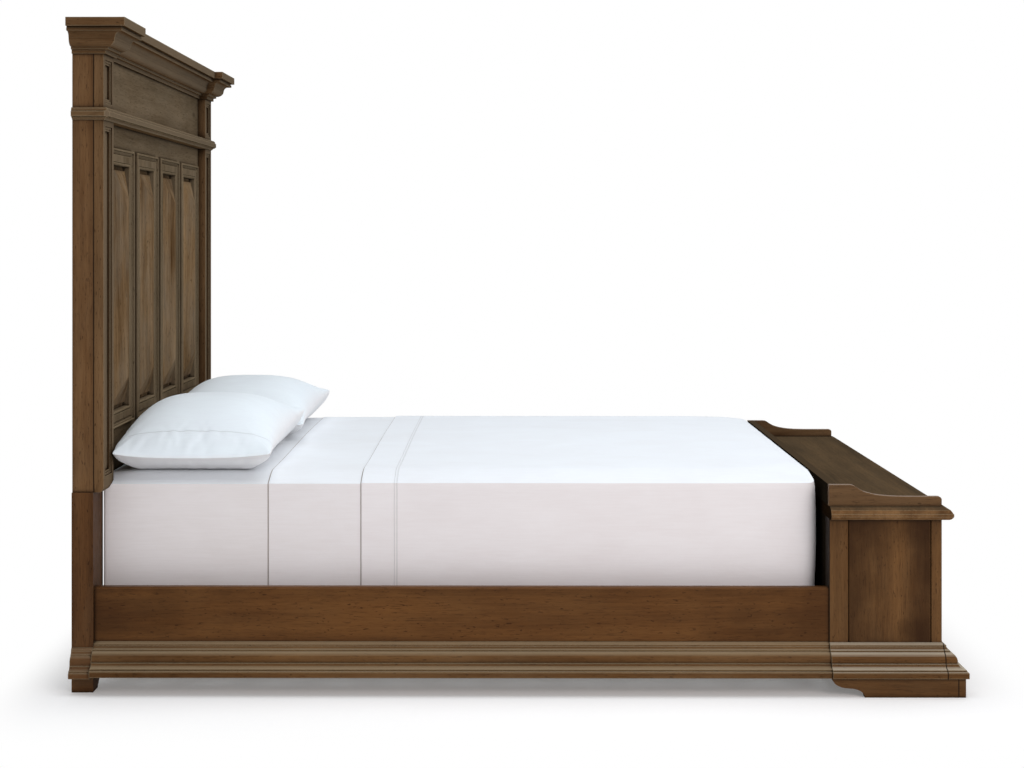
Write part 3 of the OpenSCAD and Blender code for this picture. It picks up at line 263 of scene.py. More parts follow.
# A stained board's material. along is the axis of its grain; where two are given,
# faces that look along the first one's axis carry the second. boards is (axis,
# pitch, start) where one node holds several boards, and shift moves the grain, so
# that no two pieces show the same. corners and reach are how dark and how wide
# painted shade lies in corners and between parts, where it also stands for dark
# glaze, and edges how far the arrises are painted pale, for wear and a painted
# highlight. top_light and front are (amount, colour) of painted light: the light
# and reflection caught by what looks up, and a painted reflection on what looks
# towards the foot. joints are (axis, place) of planes painted near
# black, for dark butt joints and for faces in shade, and darker_ends are (axis,
# low, high, width, amount) of darkening near a board's ends.
def stained(name, along, dark=(0.066, 0.0265, 0.0088), light=(0.245, 0.130, 0.054),
            haze=(0.20, 0.125, 0.065), haze_amount=0.25, figure=1.0, boards=None,
            shift=(0, 0, 0), corners=0.9, reach=0.012, edges=0.5, edge_width=0.0016,
            edge_colour=None, top_light=None, front=None, joints=(), darker_ends=(), polish=0.07):
    material, tree = blank_material(name)
    coords = add(tree, "TexCoord")
    part = add(tree, "SeparateXYZ", {0: coords.outputs["Object"]}).outputs
    facing = add(tree, "SeparateXYZ", {0: coords.outputs["Normal"]}).outputs
    axes = {"x": (0, 1, 2), "y": (1, 0, 2), "z": (2, 0, 1)}

    def runs(axis):
        i, j, k = axes[axis]
        return add(tree, "CombineXYZ", {0: part[i], 1: part[j], 2: part[k]}).outputs[0]

    vector = runs(along[0])
    if len(along) == 2:
        size = [calc(tree, "ABSOLUTE", facing[axes[axis][0]]) for axis in along]
        turn = calc(tree, "GREATER_THAN", calc(tree, "SUBTRACT", size[0], size[1]), 0.02)
        vector = add(tree, "Mix", {0: turn, 4: vector, 5: runs(along[1])},
                     data_type="VECTOR").outputs[1]
    if boards:
        axis, pitch, start = boards
        from_start = calc(tree, "SUBTRACT", part[axis], start)
        number = calc(tree, "FLOOR", calc(tree, "DIVIDE", from_start, pitch))
        other_tree = 3.37
        jump = calc(tree, "MULTIPLY", number, other_tree)
        jump = add(tree, "CombineXYZ", {0: jump, 1: jump, 2: jump}).outputs[0]
        vector = add(tree, "VectorMath", {0: vector, 1: jump}, operation="ADD").outputs[0]
    vector = add(tree, "VectorMath", {0: vector, 1: shift}, operation="ADD").outputs[0]
    wood = add(tree, "Group", node_tree=grain)
    for label, value in (("Dark", dark), ("Light", light), ("Haze", haze)):
        wood.inputs[label].default_value = (*value, 1)
    wood.inputs["Haze amount"].default_value = haze_amount
    wood.inputs["Figure"].default_value = figure
    tree.links.new(vector, wood.inputs["Vector"])
    hollows_and_arrises = add(tree, "Group", node_tree=occlusion_and_bevel)
    hollows_and_arrises.inputs["Reach"].default_value = reach
    hollows_and_arrises.inputs["Edge width"].default_value = edge_width
    colour = wood.outputs["Color"]
    # Painted light: what looks up gets a colour for the light and reflection it catches, and
    # what looks towards the foot gets a painted grey reflection.
    if top_light:
        colour = blend_colour(tree, spread(tree, facing["Z"], 0.50, 0.98, 0, top_light[0]),
                              colour, (*top_light[1], 1))
    if front:
        colour = blend_colour(tree, spread(tree, facing["X"], 0.10, 0.75, 0, front[0]),
                              colour, (*front[1], 1))
    # Darker towards a board's ends, with a ragged border.
    if darker_ends:
        patchy = add(tree, "TexNoise", {"Vector": coords.outputs["Object"], "Scale": 9.0,
                                        "Detail": 3.0}).outputs[0]
    for axis, low, high, width, amount in darker_ends:
        inside = calc(tree, "MINIMUM", calc(tree, "SUBTRACT", part[axis], low),
                      calc(tree, "SUBTRACT", high, part[axis]))
        ragged = spread(tree, patchy, 0.3, 0.7, -0.3 * width, 0.3 * width)
        inside = calc(tree, "ADD", inside, ragged)
        colour = blend_colour(tree, spread(tree, inside, 0, width, amount, 0), colour,
                              (*[0.6 * c for c in dark], 1))
    # Arrises are painted pale, for wear and a painted highlight.
    edge_colour = edge_colour or [min(1, 1.7 * c) for c in light]
    colour = blend_colour(tree, calc(tree, "MULTIPLY", hollows_and_arrises.outputs["Edges"], edges),
                          colour, (*edge_colour, 1))
    # Painted shade in corners and between parts, which also stands for dark glaze, and planes
    # painted near black: dark butt joints and faces in shade.
    darkening = calc(tree, "MULTIPLY", hollows_and_arrises.outputs["Corners"], corners)
    for axis, place in joints:
        off = off_plane(tree, part, axis, place)
        darkening = calc(tree, "MAXIMUM", darkening, spread(tree, off, 0.0008, 0.0022, 0.95, 0))
    near_black_paint = (0.006, 0.0035, 0.002, 1)
    colour = blend_colour(tree, darkening, colour, near_black_paint)
    bump = add(tree, "Bump", {"Strength": 0.35, "Distance": 0.0006,
                              "Height": wood.outputs["Height"],
                              "Normal": hollows_and_arrises.outputs["Normal"]})
    shader = add(tree, "BsdfPrincipled", {
        "Base Color": colour, "Normal": bump.outputs[0], "Specular IOR Level": polish,
        "Roughness": wood.outputs["Roughness"]})
    add(tree, "OutputMaterial", {"Surface": shader.outputs[0]})
    return material


def dress(material, *names):
    """Give CAD pieces their material."""
    for name in names:
        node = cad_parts[name]
        node.data.materials.clear()
        node.data.materials.append(material)


# Two painted colours: a pale one for arrises, for wear and a painted highlight, and a painted
# grey reflection for faces that look towards the foot.
arris_highlight = (0.30, 0.23, 0.14)
grey_foot_sheen = (0.7, (0.150, 0.118, 0.080))
post_back, post_face = (corner.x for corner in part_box("posts"))
dress(stained("post_wood", "z", joints=(("X", post_face),),
              darker_ends=(("X", post_back, post_face, 0.016, 0.45),)), "posts")
dress(stained("pilaster_wood", "z", dark=(0.055, 0.0250, 0.0095),
              light=(0.225, 0.128, 0.060), shift=(1.7, 0.3, 0.2), reach=0.035, edges=0.8,
              edge_width=0.0028, edge_colour=arris_highlight, front=grey_foot_sheen,
              joints=(("X", post_face),), polish=0.0), "pilasters")


# Headboard legs
# The posts' lower halves, with butted feet and mitred blocks of base moulding.
# A pale painted highlight for what looks up, and wide arrises painted pale for wear and a
# painted highlight.
pale_top_highlight = (0.27, 0.20, 0.125)
bright_arrises = dict(edges=0.9, edge_width=0.004, edge_colour=arris_highlight)
deep = dict(dark=(0.048, 0.0182, 0.0058), light=(0.172, 0.077, 0.0275))
low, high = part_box("legs")
dress(stained("leg_wood", "z", shift=(4.1, 0.6, 0.9),
              darker_ends=(("X", low.x, high.x, 0.018, 0.5),), **deep), "legs")
dress(stained("leg_foot_wood", "x", shift=(0.4, 0.2, 0.6), **deep), "leg_feet")
dress(stained("leg_moulding_wood", "xy", shift=(0.9, 0.1, 0.4), top_light=(0.5, pale_top_highlight), **bright_arrises,
              **deep), "leg_mouldings")


# Headboard frame
# Rails and stiles joined flush round four openings, with the frieze board
# above them and a plywood back behind.
# Olive-grey colours with no gloss: the painted grey reflection of the satin finish, on faces
# that look towards the foot, is mixed into the wood's own colour.
olive_sheen = dict(dark=(0.064, 0.044, 0.0230), light=(0.205, 0.150, 0.094),
             haze=(0.18, 0.145, 0.100), polish=0.0)
dress(stained("head_rail_wood", "y", shift=(0.2, 0.5, 0.1), **olive_sheen), "head_rails")
panel_pitch, first_stile = 0.3585, -0.83
dress(stained("head_stile_wood", "z", boards=("Y", panel_pitch, first_stile), **olive_sheen),
      "head_stiles")
low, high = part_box("frieze")
dress(stained("frieze_wood", "y", shift=(0.7, 0.9, 0.3),
              darker_ends=(("Y", low.y, high.y, 0.2, 0.35),), **olive_sheen), "frieze")
dress(stained("stretcher_wood", "y", shift=(2.7, 0.4, 0.3)), "stretcher")
dress(stained("plywood_back", "y", dark=(0.045, 0.022, 0.011), light=(0.12, 0.066, 0.034),
              shift=(5.7, 0.9, 0.3), figure=0.8), "head_back")


# Raised panels and their mouldings
# Each panel is a long hipped field of solid wood in a mitred bolection ring.
dress(stained("panel_wood", "z", dark=(0.060, 0.030, 0.0115), light=(0.270, 0.172, 0.088),
              haze=(0.18, 0.152, 0.112), haze_amount=0.45, figure=1.6,
              boards=("Y", panel_pitch, -2 * panel_pitch), shift=(0.3, 0.2, 0.7),
              polish=0.0), "panels")
dress(stained("panel_moulding_wood", "zy", shift=(0.3, 0.4, 0.2), top_light=(0.3, pale_top_highlight),
              edges=0.8, edge_width=0.003, edge_colour=arris_highlight, **olive_sheen), "panel_mouldings")


# Middle moulding, cornice and cap
# Run mouldings mitred round the front and both sides, blocks over the posts
# and a plain board on top.
dress(stained("middle_moulding_wood", "yx", dark=(0.050, 0.0250, 0.0100),
              light=(0.195, 0.117, 0.058), shift=(0.1, 0.8, 0.5), top_light=(0.3, pale_top_highlight),
              front=grey_foot_sheen, polish=0.0, **bright_arrises), "mid_moulding")
# The cornice's hollows get painted shade up to 5 cm wide, its upper faces and arrises painted
# highlights, and its faces towards the foot a painted reflection.
crown_wood = dict(dark=(0.046, 0.0200, 0.0075), light=(0.195, 0.106, 0.047), corners=0.7,
                  reach=0.05, top_light=(0.35, pale_top_highlight), polish=0.0, front=grey_foot_sheen, **bright_arrises)
dress(stained("cornice_wood", "yx", shift=(0.6, 0.1, 0.2), **crown_wood), "cornice")
dress(stained("cornice_block_wood", "yx", shift=(3.6, 0.1, 0.2), **crown_wood), "cornice_blocks")
dress(stained("cap_wood", "yx", dark=(0.095, 0.046, 0.019), light=(0.310, 0.185, 0.090),
              shift=(0.5, 0.5, 0.2), front=grey_foot_sheen, polish=0.0), "cap_board")


# Side rails
# Deep boards hooked into the posts, each with a run moulding along its foot.
low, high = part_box("side_rails")
dress(stained("rail_wood", "x", dark=(0.050, 0.0175, 0.0050), light=(0.196, 0.084, 0.0245),
              haze=(0.15, 0.078, 0.03), haze_amount=0.2,
              darker_ends=(("X", low.x, high.x, 0.42, 0.5), ("Z", low.z, high.z, 0.03, 0.25))),
      "side_rails")
# Its upward faces are painted pale as a highlight, and its hollows dark as painted shade.
dress(stained("rail_moulding_wood", "x", dark=(0.050, 0.0195, 0.0060),
              light=(0.190, 0.094, 0.034), shift=(0.3, 0.3, 0.9), corners=1.0, reach=0.02,
              top_light=(0.8, (0.34, 0.26, 0.16)), polish=0.03, **bright_arrises), "rail_mouldings")


# Bed fittings
# Zinc-plated hook plates, sockets and slat screws, hidden in the joints.
# Plated or cast metal that is duller in blotches and where dirt sits in corners.
def metal(name, colour, roughness, patina=(0.1, 0.08, 0.05), amount=0.3, scale=60.0):
    material, tree = blank_material(name)
    place = add(tree, "TexCoord").outputs["Object"]
    blotch = add(tree, "TexNoise", {"Vector": place, "Scale": scale, "Detail": 4.0}).outputs[0]
    hollows_and_arrises = add(tree, "Group", node_tree=occlusion_and_bevel)
    hollows_and_arrises.inputs["Reach"].default_value = 0.004
    dull = calc(tree, "MAXIMUM", calc(tree, "MULTIPLY", spread(tree, blotch, 0.45, 0.7), amount),
                calc(tree, "MULTIPLY", hollows_and_arrises.outputs["Corners"], 0.8))
    shader = add(tree, "BsdfPrincipled", {
        "Base Color": blend_colour(tree, dull, (*colour, 1), (*patina, 1)),
        "Metallic": 1.0,
        "Roughness": calc(tree, "ADD", calc(tree, "MULTIPLY", dull, 0.3), roughness),
        "Normal": add(tree, "Bump", {"Strength": 0.2, "Distance": 0.0003, "Height": blotch,
                                     "Normal": hollows_and_arrises.outputs["Normal"]}).outputs[0]})
    add(tree, "OutputMaterial", {"Surface": shader.outputs[0]})
    return material


zinc = metal("zinc_plate", (0.55, 0.56, 0.57), 0.34, patina=(0.3, 0.3, 0.29), amount=0.4)
dress(zinc, "hook_plates", "hook_sockets", "slat_screws")


# Slatted base
# Planed softwood slats screwed to cleats, with a centre rail in steel hangers
# and three legs on plastic glides. It carries the foundation.
def bare_wood(name, along, dark, light, shift=(0, 0, 0)):
    """Planed wood with no stain and only light painted shade in its corners."""
    return stained(name, along, dark=dark, light=light, haze=light, haze_amount=0.2,
                   figure=0.8, shift=shift, corners=0.35)


pine = dict(dark=(0.36, 0.22, 0.11), light=(0.58, 0.42, 0.25))
dress(bare_wood("slat_wood", "y", **pine), "slats")
dress(bare_wood("cleat_wood", "x", shift=(1, 2, 3), **pine), "cleats", "centre_rail")
dress(bare_wood("centre_leg_wood", "z", shift=(2, 2, 1), **pine), "centre_legs")
dress(zinc, "centre_hangers")

glide_plastic, t = blank_material("glide_plastic")
dust = add(t, "TexNoise", {"Vector": add(t, "TexCoord").outputs["Object"], "Scale": 180.0,
                           "Detail": 3.0}).outputs[0]
moulded = add(t, "BsdfPrincipled", {
    "Base Color": blend_colour(t, spread(t, dust, 0.5, 0.8, 0, 0.4), (0.02, 0.02, 0.02, 1),
                               (0.09, 0.085, 0.08, 1)),
    "Roughness": spread(t, dust, 0.3, 0.7, 0.4, 0.6),
    "Normal": add(t, "Bump", {"Strength": 0.2, "Distance": 0.0002,
                              "Height": dust}).outputs[0]})
add(t, "OutputMaterial", {"Surface": moulded.outputs[0]})
dress(glide_plastic, "glides")


# Bench case
# Panelled case between four posts, with the drawers' face frame at the foot.
low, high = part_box("bench_sides")
inner_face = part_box("bench_posts")[0].x
oak = dict(dark=(0.049, 0.0190, 0.0058), light=(0.190, 0.092, 0.032),
           haze=(0.15, 0.088, 0.04))
# The joint plane lies on the posts' inner face, so that whole face is painted near black, as
# painted shade.
dress(stained("bench_post_wood", "z", shift=(0.2, 0.9, 0.1), joints=(("X", inner_face),),
              darker_ends=(("Z", low.z, high.z, 0.08, 0.35),), **oak), "bench_posts")
dress(stained("bench_side_wood", "z", shift=(0.7, 0.1, 0.8), figure=1.3,
              darker_ends=(("Z", low.z, high.z, 0.15, 0.7), ("X", low.x, high.x, 0.10, 0.75)),
              **oak), "bench_sides")
# The back is painted near black for the shade of the gap by the mattress, and only what looks up
# gets a brown for the light on it.
dress(stained("bench_back_wood", "y", dark=(0.006, 0.0045, 0.003),
              light=(0.020, 0.015, 0.010), haze_amount=0.0, shift=(0.9, 0.7, 0.3),
              top_light=(1.0, (0.060, 0.041, 0.024)), polish=0.0), "bench_back")
dress(stained("face_frame_wood", "y", shift=(0.5, 0.7, 0.8), **oak), "face_frame")
plain = dict(dark=(0.30, 0.19, 0.10), light=(0.50, 0.36, 0.22))
dress(bare_wood("case_bottom_wood", "y", **plain), "bench_bottom")
dress(bare_wood("case_inner_wood", "x", shift=(1, 0, 2), **plain), "divider", "runner_blocks")


# Bench top and galleries
# A thick moulded seat board with two shaped galleries on it.
top_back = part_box("bench_top")[0].x
# What looks up is painted a dark grey-olive, as the reflection that the top shows.
dress(stained("bench_top_wood", "y", haze=(0.14, 0.085, 0.045), figure=1.6,
              shift=(0.4, 0.6, 0.6), top_light=(0.66, (0.046, 0.042, 0.029)),
              joints=(("X", top_back),), polish=0.0, **bright_arrises), "bench_top")
dress(stained("gallery_wood", "x", shift=(0.8, 0.6, 0.4), figure=1.3,
              dark=(0.046, 0.0185, 0.0060), light=(0.180, 0.098, 0.042)), "galleries")


# Bench base moulding and feet
# Tall mitred base moulding on three sides over shaped bracket feet.
mitre_x, foot_joint_x = 1.188, 1.219
# Upward faces are painted pale as a highlight and hollows dark as painted shade, with a dark
# mitre joint.
dress(stained("base_moulding_wood", "yx", shift=(0.4, 0.9, 0.9), corners=1.0, reach=0.02,
              top_light=(1.0, (0.45, 0.385, 0.29)), joints=(("X", mitre_x),), polish=0.03,
              **bright_arrises, **oak), "bench_mouldings")
dress(stained("bracket_foot_wood", "yx", shift=(0.9, 0.4, 0.4),
              joints=(("X", foot_joint_x),), **oak), "bracket_feet")


# Drawers
# Solid beaded fronts on boxes of pale plywood with thin bottoms.
for side, other_board in (("left", 0.1), ("right", 1.1)):
    dress(stained("drawer_front_wood_" + side, "y", shift=(0.6, 0.2, other_board), **oak),
          "drawer_front_" + side)
dress(bare_wood("drawer_side_wood", "xy", **plain), "drawer_box_left", "drawer_box_right")
dress(bare_wood("drawer_bottom_wood", "x", shift=(3, 1, 1), **plain),
      "drawer_bottom_left", "drawer_bottom_right")


# Drawer slides
# Three-member ball-bearing slides of rolled zinc-plated steel.
dress(zinc, "slide_outers", "slide_mid_left", "slide_inner_left", "slide_mid_right",
      "slide_inner_right")


# Drawer pulls
# Cast posts on turned rosettes, with drop bails, in aged brass.
brass = metal("aged_brass", (0.42, 0.30, 0.15), 0.36, patina=(0.07, 0.05, 0.028), amount=0.6,
              scale=90.0)
dress(brass, "pulls_left", "pulls_right", "bail_left_1", "bail_left_2", "bail_right_1",
      "bail_right_2")


# Foundation
# A boarded box in quilted ticking that fills the rails under the mattress.
def pick(piece):
    """Make a piece the only selected one and the active one."""
    bpy.ops.object.select_all(action="DESELECT")
    piece.select_set(True)
    bpy.context.view_layer.objects.active = piece


def block(name, low, high, corner, rises):
    """A block from a plate with round corners, drawn up through (inset, height) steps."""
    middle = (low + high) / 2
    bpy.ops.mesh.primitive_plane_add(size=1, location=(middle.x, middle.y, low.z))
    piece = bpy.context.object
    piece.name = name
    piece.dimensions = (high.x - low.x, high.y - low.y, 0)
    bpy.ops.object.transform_apply(location=True, rotation=True, scale=True)
    bpy.ops.object.mode_set(mode="EDIT")
    bpy.ops.mesh.select_all(action="SELECT")
    bpy.ops.mesh.bevel(offset=corner, segments=8, affect="VERTICES")
    wide, deep = high.x - low.x, high.y - low.y
    last_inset, last_up = 0.0, 0.0
    for inset, up in rises:
        bpy.ops.mesh.extrude_region_move(
            TRANSFORM_OT_translate={"value": (0, 0, up - last_up)})
        bpy.ops.transform.resize(value=((wide - 2 * inset) / (wide - 2 * last_inset),
                                        (deep - 2 * inset) / (deep - 2 * last_inset), 1),
                                 center_override=(middle.x, middle.y, low.z + up))
        last_inset, last_up = inset, up
    bpy.ops.mesh.select_all(action="SELECT")
    bpy.ops.mesh.normals_make_consistent(inside=False)
    bpy.ops.object.mode_set(mode="OBJECT")
    return piece


def relax(piece, times):
    """Even out a piece's surface without changing its mesh."""
    pick(piece)
    smooth = piece.modifiers.new("relax", "SMOOTH")
    smooth.factor, smooth.iterations = 0.5, times
    bpy.ops.object.modifier_apply(modifier=smooth.name)


def remesh(piece, size):
    """Rebuild a piece's surface as an even grid of squares."""
    pick(piece)
    grid = piece.modifiers.new("even grid", "REMESH")
    grid.mode = "VOXEL"
    grid.voxel_size = size
    bpy.ops.object.modifier_apply(modifier=grid.name)


# Woven cotton: fine threads, slubs and slow creases, with a soft sheen. Its colour
# goes towards the shadow tone where the creases sink, as painted shade, and varies
# with the slubs. It is painted a little bluer where it lies flat and a little warmer
# where it hangs, for the cool light on top and the warm light on the sides. seams
# are (axis, place, half width) of sunk stitch lines, painted darker as shade in the
# line, and edge_shadows are dark lines painted as the shadow where the edge of
# another cloth lies on it.
def cotton(name, colour, shadow, crease=0.35, seams=(), edge_shadows=()):
    material, tree = blank_material(name)
    coords = add(tree, "TexCoord").outputs
    place = coords["Object"]
    part = add(tree, "SeparateXYZ", {0: place}).outputs
    weave = add(tree, "TexNoise", {"Vector": place, "Scale": 900.0,
                                   "Detail": 2.0}).outputs[0]
    slubs = add(tree, "TexNoise", {"Vector": stretch(tree, place, 14, 240, 240),
                                   "Scale": 1.0, "Detail": 2.0}).outputs[0]
    folds = add(tree, "TexNoise", {"Vector": stretch(tree, place, 5, 7, 9), "Scale": 1.0,
                                   "Detail": 5.0, "Roughness": 0.55,
                                   "Distortion": 0.6}).outputs[0]
    tone = calc(tree, "ADD", calc(tree, "MULTIPLY", spread(tree, folds, 0.3, 0.7), 0.6),
                calc(tree, "MULTIPLY", spread(tree, slubs, 0.3, 0.7), 0.4))
    paint = blend_colour(tree, tone, (*shadow, 1), (*colour, 1))
    facing = add(tree, "SeparateXYZ", {0: coords["Normal"]}).outputs
    # Painted light: a warm tint where the cloth hangs and a cool one where it lies flat, for how
    # the two lamps fall on it.
    side_light_tint, top_light_tint = (1.055, 1.0, 0.99, 1), (0.985, 1.02, 1.055, 1)
    painted_light_tint = blend_colour(tree, spread(tree, facing["Z"], 0.1, 0.8), side_light_tint, top_light_tint)
    paint = blend_colour(tree, 1.0, paint, painted_light_tint, mode="MULTIPLY")
    fine = calc(tree, "ADD", calc(tree, "MULTIPLY", weave, 0.12),
                calc(tree, "MULTIPLY", slubs, 0.1))
    height = calc(tree, "ADD", fine, calc(tree, "MULTIPLY", folds, crease * 8))
    # Stitch lines are sunk in the bump and painted darker, as shade in the line.
    for axis, at, half in seams:
        line = spread(tree, off_plane(tree, part, axis, at), half, half * 2.2, 1, 0)
        height = calc(tree, "SUBTRACT", height, calc(tree, "MULTIPLY", line, 1.4))
        paint = blend_colour(tree, calc(tree, "MULTIPLY", line, 0.35), paint,
                             (*[0.62 * c for c in shadow], 1))
    # Painted shadow: a dark line where the edge of another cloth lies on this one.
    for axis, at, half in edge_shadows:
        line = spread(tree, off_plane(tree, part, axis, at), 0.4 * half, half, 0.75, 0)
        paint = blend_colour(tree, line, paint, (0.24, 0.17, 0.13, 1))
    bump = add(tree, "Bump", {"Strength": 0.5, "Distance": 0.0012, "Height": height})
    shader = add(tree, "BsdfPrincipled", {
        "Base Color": paint, "Roughness": spread(tree, slubs, 0.3, 0.7, 0.78, 0.9),
        "Normal": bump.outputs[0], "Sheen Weight": 0.15, "Sheen Roughness": 0.4,
        "Specular IOR Level": 0.25})
    add(tree, "OutputMaterial", {"Surface": shader.outputs[0]})
    return material


low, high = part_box("foundation")
foundation = block("foundation_cover", low, high, 0.06,
                   [(0.0, 0.006), (0.0, 0.012), (0.0, 0.093), (0.0, 0.099), (0.004, 0.105)])
remesh(foundation, 0.012)
relax(foundation, 2)
bpy.ops.object.shade_smooth()
foundation.data.materials.append(
    cotton("foundation_ticking", (0.66, 0.65, 0.63), (0.56, 0.55, 0.53), crease=0.2))
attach(foundation, "frame")
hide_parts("foundation")


# Mattress
# A deep foam mattress in a fitted cotton cover. Its top slopes to a crisp edge,
# and its head corners are pressed round under the pilasters' feet.
def wander(x, y, z):
    """A smooth value between -1 and 1 that is the same each run."""
    return noise.noise(Vector((x, y, z)))


def round_corner(p, q, radius):
    """Where a point that is p and q in from two sides goes as their corner is rounded."""
    a, b = min(p, q), max(p, q)
    r = radius - a
    if r > 0.004 and b - a < r:
        turn = math.radians(45) * (1 - (b - a) / r)
        a, b = a + r - r * math.cos(turn), a + r - r * math.sin(turn)
    return (a, b) if p <= q else (b, a)


bed_low, bed_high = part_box("mattress")
edge_drop, edge_reach, split = 0.029, 0.10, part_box("legs")[1].z
head_round, foot_round, leg_round = 0.09, 0.028, 0.008
edge_z = bed_high.z - edge_drop


def rise(y):
    """How far the middle and far side of the bed's top stand over its near side."""
    t = min(1.0, max(0.0, (y + 0.65) / 0.95))
    return 0.012 * t * t * (3 - 2 * t)


# The grid's rows lie closer together towards the edge: the first ones at these
# insets, and the rest evenly up to the middle.
insets = (0, 0.004, 0.010, 0.019, 0.031, 0.046, 0.064, 0.086, 0.112)
columns, rows = 88, 68
bpy.ops.mesh.primitive_grid_add(x_subdivisions=columns, y_subdivisions=rows, size=2,
                                location=(0, 0, 0))
mattress = bpy.context.object
mattress.name = "mattress_cover"
for v in mattress.data.vertices:
    place = []
    for at, count, a, b in ((v.co.x, columns, bed_low.x, bed_high.x),
                            (v.co.y, rows, bed_low.y, bed_high.y)):
        i = round((at + 1) / 2 * count)
        k = min(i, count - i)
        if k < len(insets):
            inset = insets[k]
        else:
            last = len(insets) - 1
            inset = insets[last] + ((b - a) / 2 - insets[last]) * (k - last) / (count / 2 - last)
        place.append(a + inset if i <= count / 2 else b - inset)
    v.co = (place[0], place[1], edge_z)
bpy.ops.object.mode_set(mode="EDIT")
bpy.ops.mesh.select_all(action="DESELECT")
bpy.ops.mesh.select_mode(type="EDGE")
bpy.ops.mesh.select_non_manifold()
top_rings, even_rings, last_ring = [0.012, 0.010], 11, [0.008]
even_ring = (edge_z - bed_low.z - sum(top_rings + last_ring)) / even_rings
for step in top_rings + [even_ring] * even_rings + last_ring:
    bpy.ops.mesh.extrude_region_move(TRANSFORM_OT_translate={"value": (0, 0, -step)})
bpy.ops.mesh.edge_face_add()
bpy.ops.mesh.select_all(action="SELECT")
bpy.ops.mesh.normals_make_consistent(inside=False)
bpy.ops.object.mode_set(mode="OBJECT")
for v in mattress.data.vertices:
    x, y, z = v.co
    head, foot, side = x - bed_low.x, bed_high.x - x, bed_high.y - abs(y)
    wave = wander(x * 2.1, y * 2.1, z * 3.0)
    # The top falls off towards its edge, most on the near side and by the foot
    if z > edge_z - 1e-5:
        inset = min(head, foot, side)
        near = edge_drop if y < 0 else 0.3 * edge_drop
        reach = edge_reach * (1 + 1.8 * max(0.0, 1 - foot / 0.30) ** 2)
        drop = max(near * max(0.0, 1 - side / reach) ** 1.6,
                   0.3 * edge_drop * max(0.0, 1 - head / edge_reach) ** 1.6,
                   0.35 * edge_drop * max(0.0, 1 - foot / 0.06) ** 2)
        z = bed_high.z - drop + rise(y) * min(1.0, inset / 0.09)
        z -= 0.0008 * (1 - wave) * min(1.0, inset / 0.1)
    # The corners are round seen from above, and the foot end is a little hollow
    if head < foot:
        p, q = round_corner(head, side, leg_round if z < split - 0.009 else head_round)
        x = bed_low.x + p
    else:
        p, q = round_corner(foot, side, foot_round)
        hollow = 0.004 * min(1.0, abs(z - 0.43) / 0.14) ** 2
        x = bed_high.x - p - hollow * max(0.0, 1 - foot / insets[-1])
    if z < edge_z - 0.004 and side < 0.01:
        q += 0.0011 * (1 + wave) * min(1.0, (edge_z - z) / 0.05)
    v.co = (x, math.copysign(bed_high.y - q, y), z)
pick(mattress)
bpy.ops.object.shade_smooth_by_angle(angle=math.radians(38))
# Painted shadow lines lie on the cover just before the flat sheet's head edge, and on the flat
# sheet just before the top sheet's.
flat_sheet_head, shadow_before_edge = -0.710, 0.0025
mattress.data.materials.append(
    cotton("fitted_cover", (0.86, 0.865, 0.87), (0.80, 0.795, 0.79), crease=0.25,
           edge_shadows=(("X", flat_sheet_head - shadow_before_edge, 0.0022),)))
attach(mattress, "frame")
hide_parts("mattress")


# Flat sheet
# Plain cotton laid over the mattress from below the pillows to the foot, with
# its sides hanging down inside the rails past the mattress's lower edge.
past_mattress = 0.025


def lay_sheet(name, start, off, thickness, ripple, seed):
    """A sheet drawn from the mattress's own surface: cut, lifted off and given its edge."""
    piece = mattress.copy()
    piece.data = mattress.data.copy()
    piece.name = name
    for key in [k for k in piece.keys() if k.startswith("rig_")]:
        del piece[key]
    piece.parent = None
    scene.collection.objects.link(piece)
    pick(piece)
    bpy.ops.object.mode_set(mode="EDIT")
    bpy.ops.mesh.select_all(action="SELECT")
    bpy.ops.mesh.bisect(plane_co=(start, 0, 0), plane_no=(1, 0, 0), clear_inner=True)
    bpy.ops.object.mode_set(mode="OBJECT")
    for face in piece.data.polygons:
        face.select = face.center.z < bed_low.z + 0.001
    bpy.ops.object.mode_set(mode="EDIT")
    bpy.ops.mesh.select_mode(type="FACE")
    bpy.ops.mesh.delete(type="ONLY_FACE")
    bpy.ops.mesh.select_mode(type="VERT")
    bpy.ops.object.mode_set(mode="OBJECT")
    for v in piece.data.vertices:
        v.select = v.co.z < bed_low.z + 0.001
    bpy.ops.object.mode_set(mode="EDIT")
    bpy.ops.mesh.select_mode(type="EDGE")
    for step in range(2):
        bpy.ops.mesh.extrude_region_move(
            TRANSFORM_OT_translate={"value": (0, 0, -past_mattress / 2)})
    bpy.ops.object.mode_set(mode="OBJECT")
    normals = [v.normal.copy() for v in piece.data.vertices]
    for v, n in zip(piece.data.vertices, normals):
        x, y, z = v.co
        down = min(1.0, max(0.0, (edge_z - z) / 0.05))
        fold = wander(x * 6.5 + seed, y * 1.2, z * 1.5)
        fine = wander(x * 15 + seed, y * 13, z * 11)
        move = off + ripple * down * max(0.0, fold) * min(1.0, (x - start) / 0.08 + 0.25)
        move += 0.0007 * (fine + 1) * 0.5
        v.co += n * move
    shell = piece.modifiers.new("thickness", "SOLIDIFY")
    shell.thickness, shell.offset = thickness, 1
    bpy.ops.object.modifier_apply(modifier=shell.name)
    bpy.ops.object.shade_smooth_by_angle(angle=math.radians(38))
    return piece


top_sheet_head = -0.445
flat_sheet = lay_sheet("flat_sheet_cloth", flat_sheet_head, off=0.0006, thickness=0.0016,
                       ripple=0.0012, seed=3.0)
flat_sheet.data.materials.clear()
flat_sheet.data.materials.append(
    cotton("flat_sheet_cotton", (0.87, 0.88, 0.89), (0.82, 0.815, 0.815),
           edge_shadows=(("X", top_sheet_head - shadow_before_edge, 0.0018),)))
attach(flat_sheet, "frame")
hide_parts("flat_sheet")


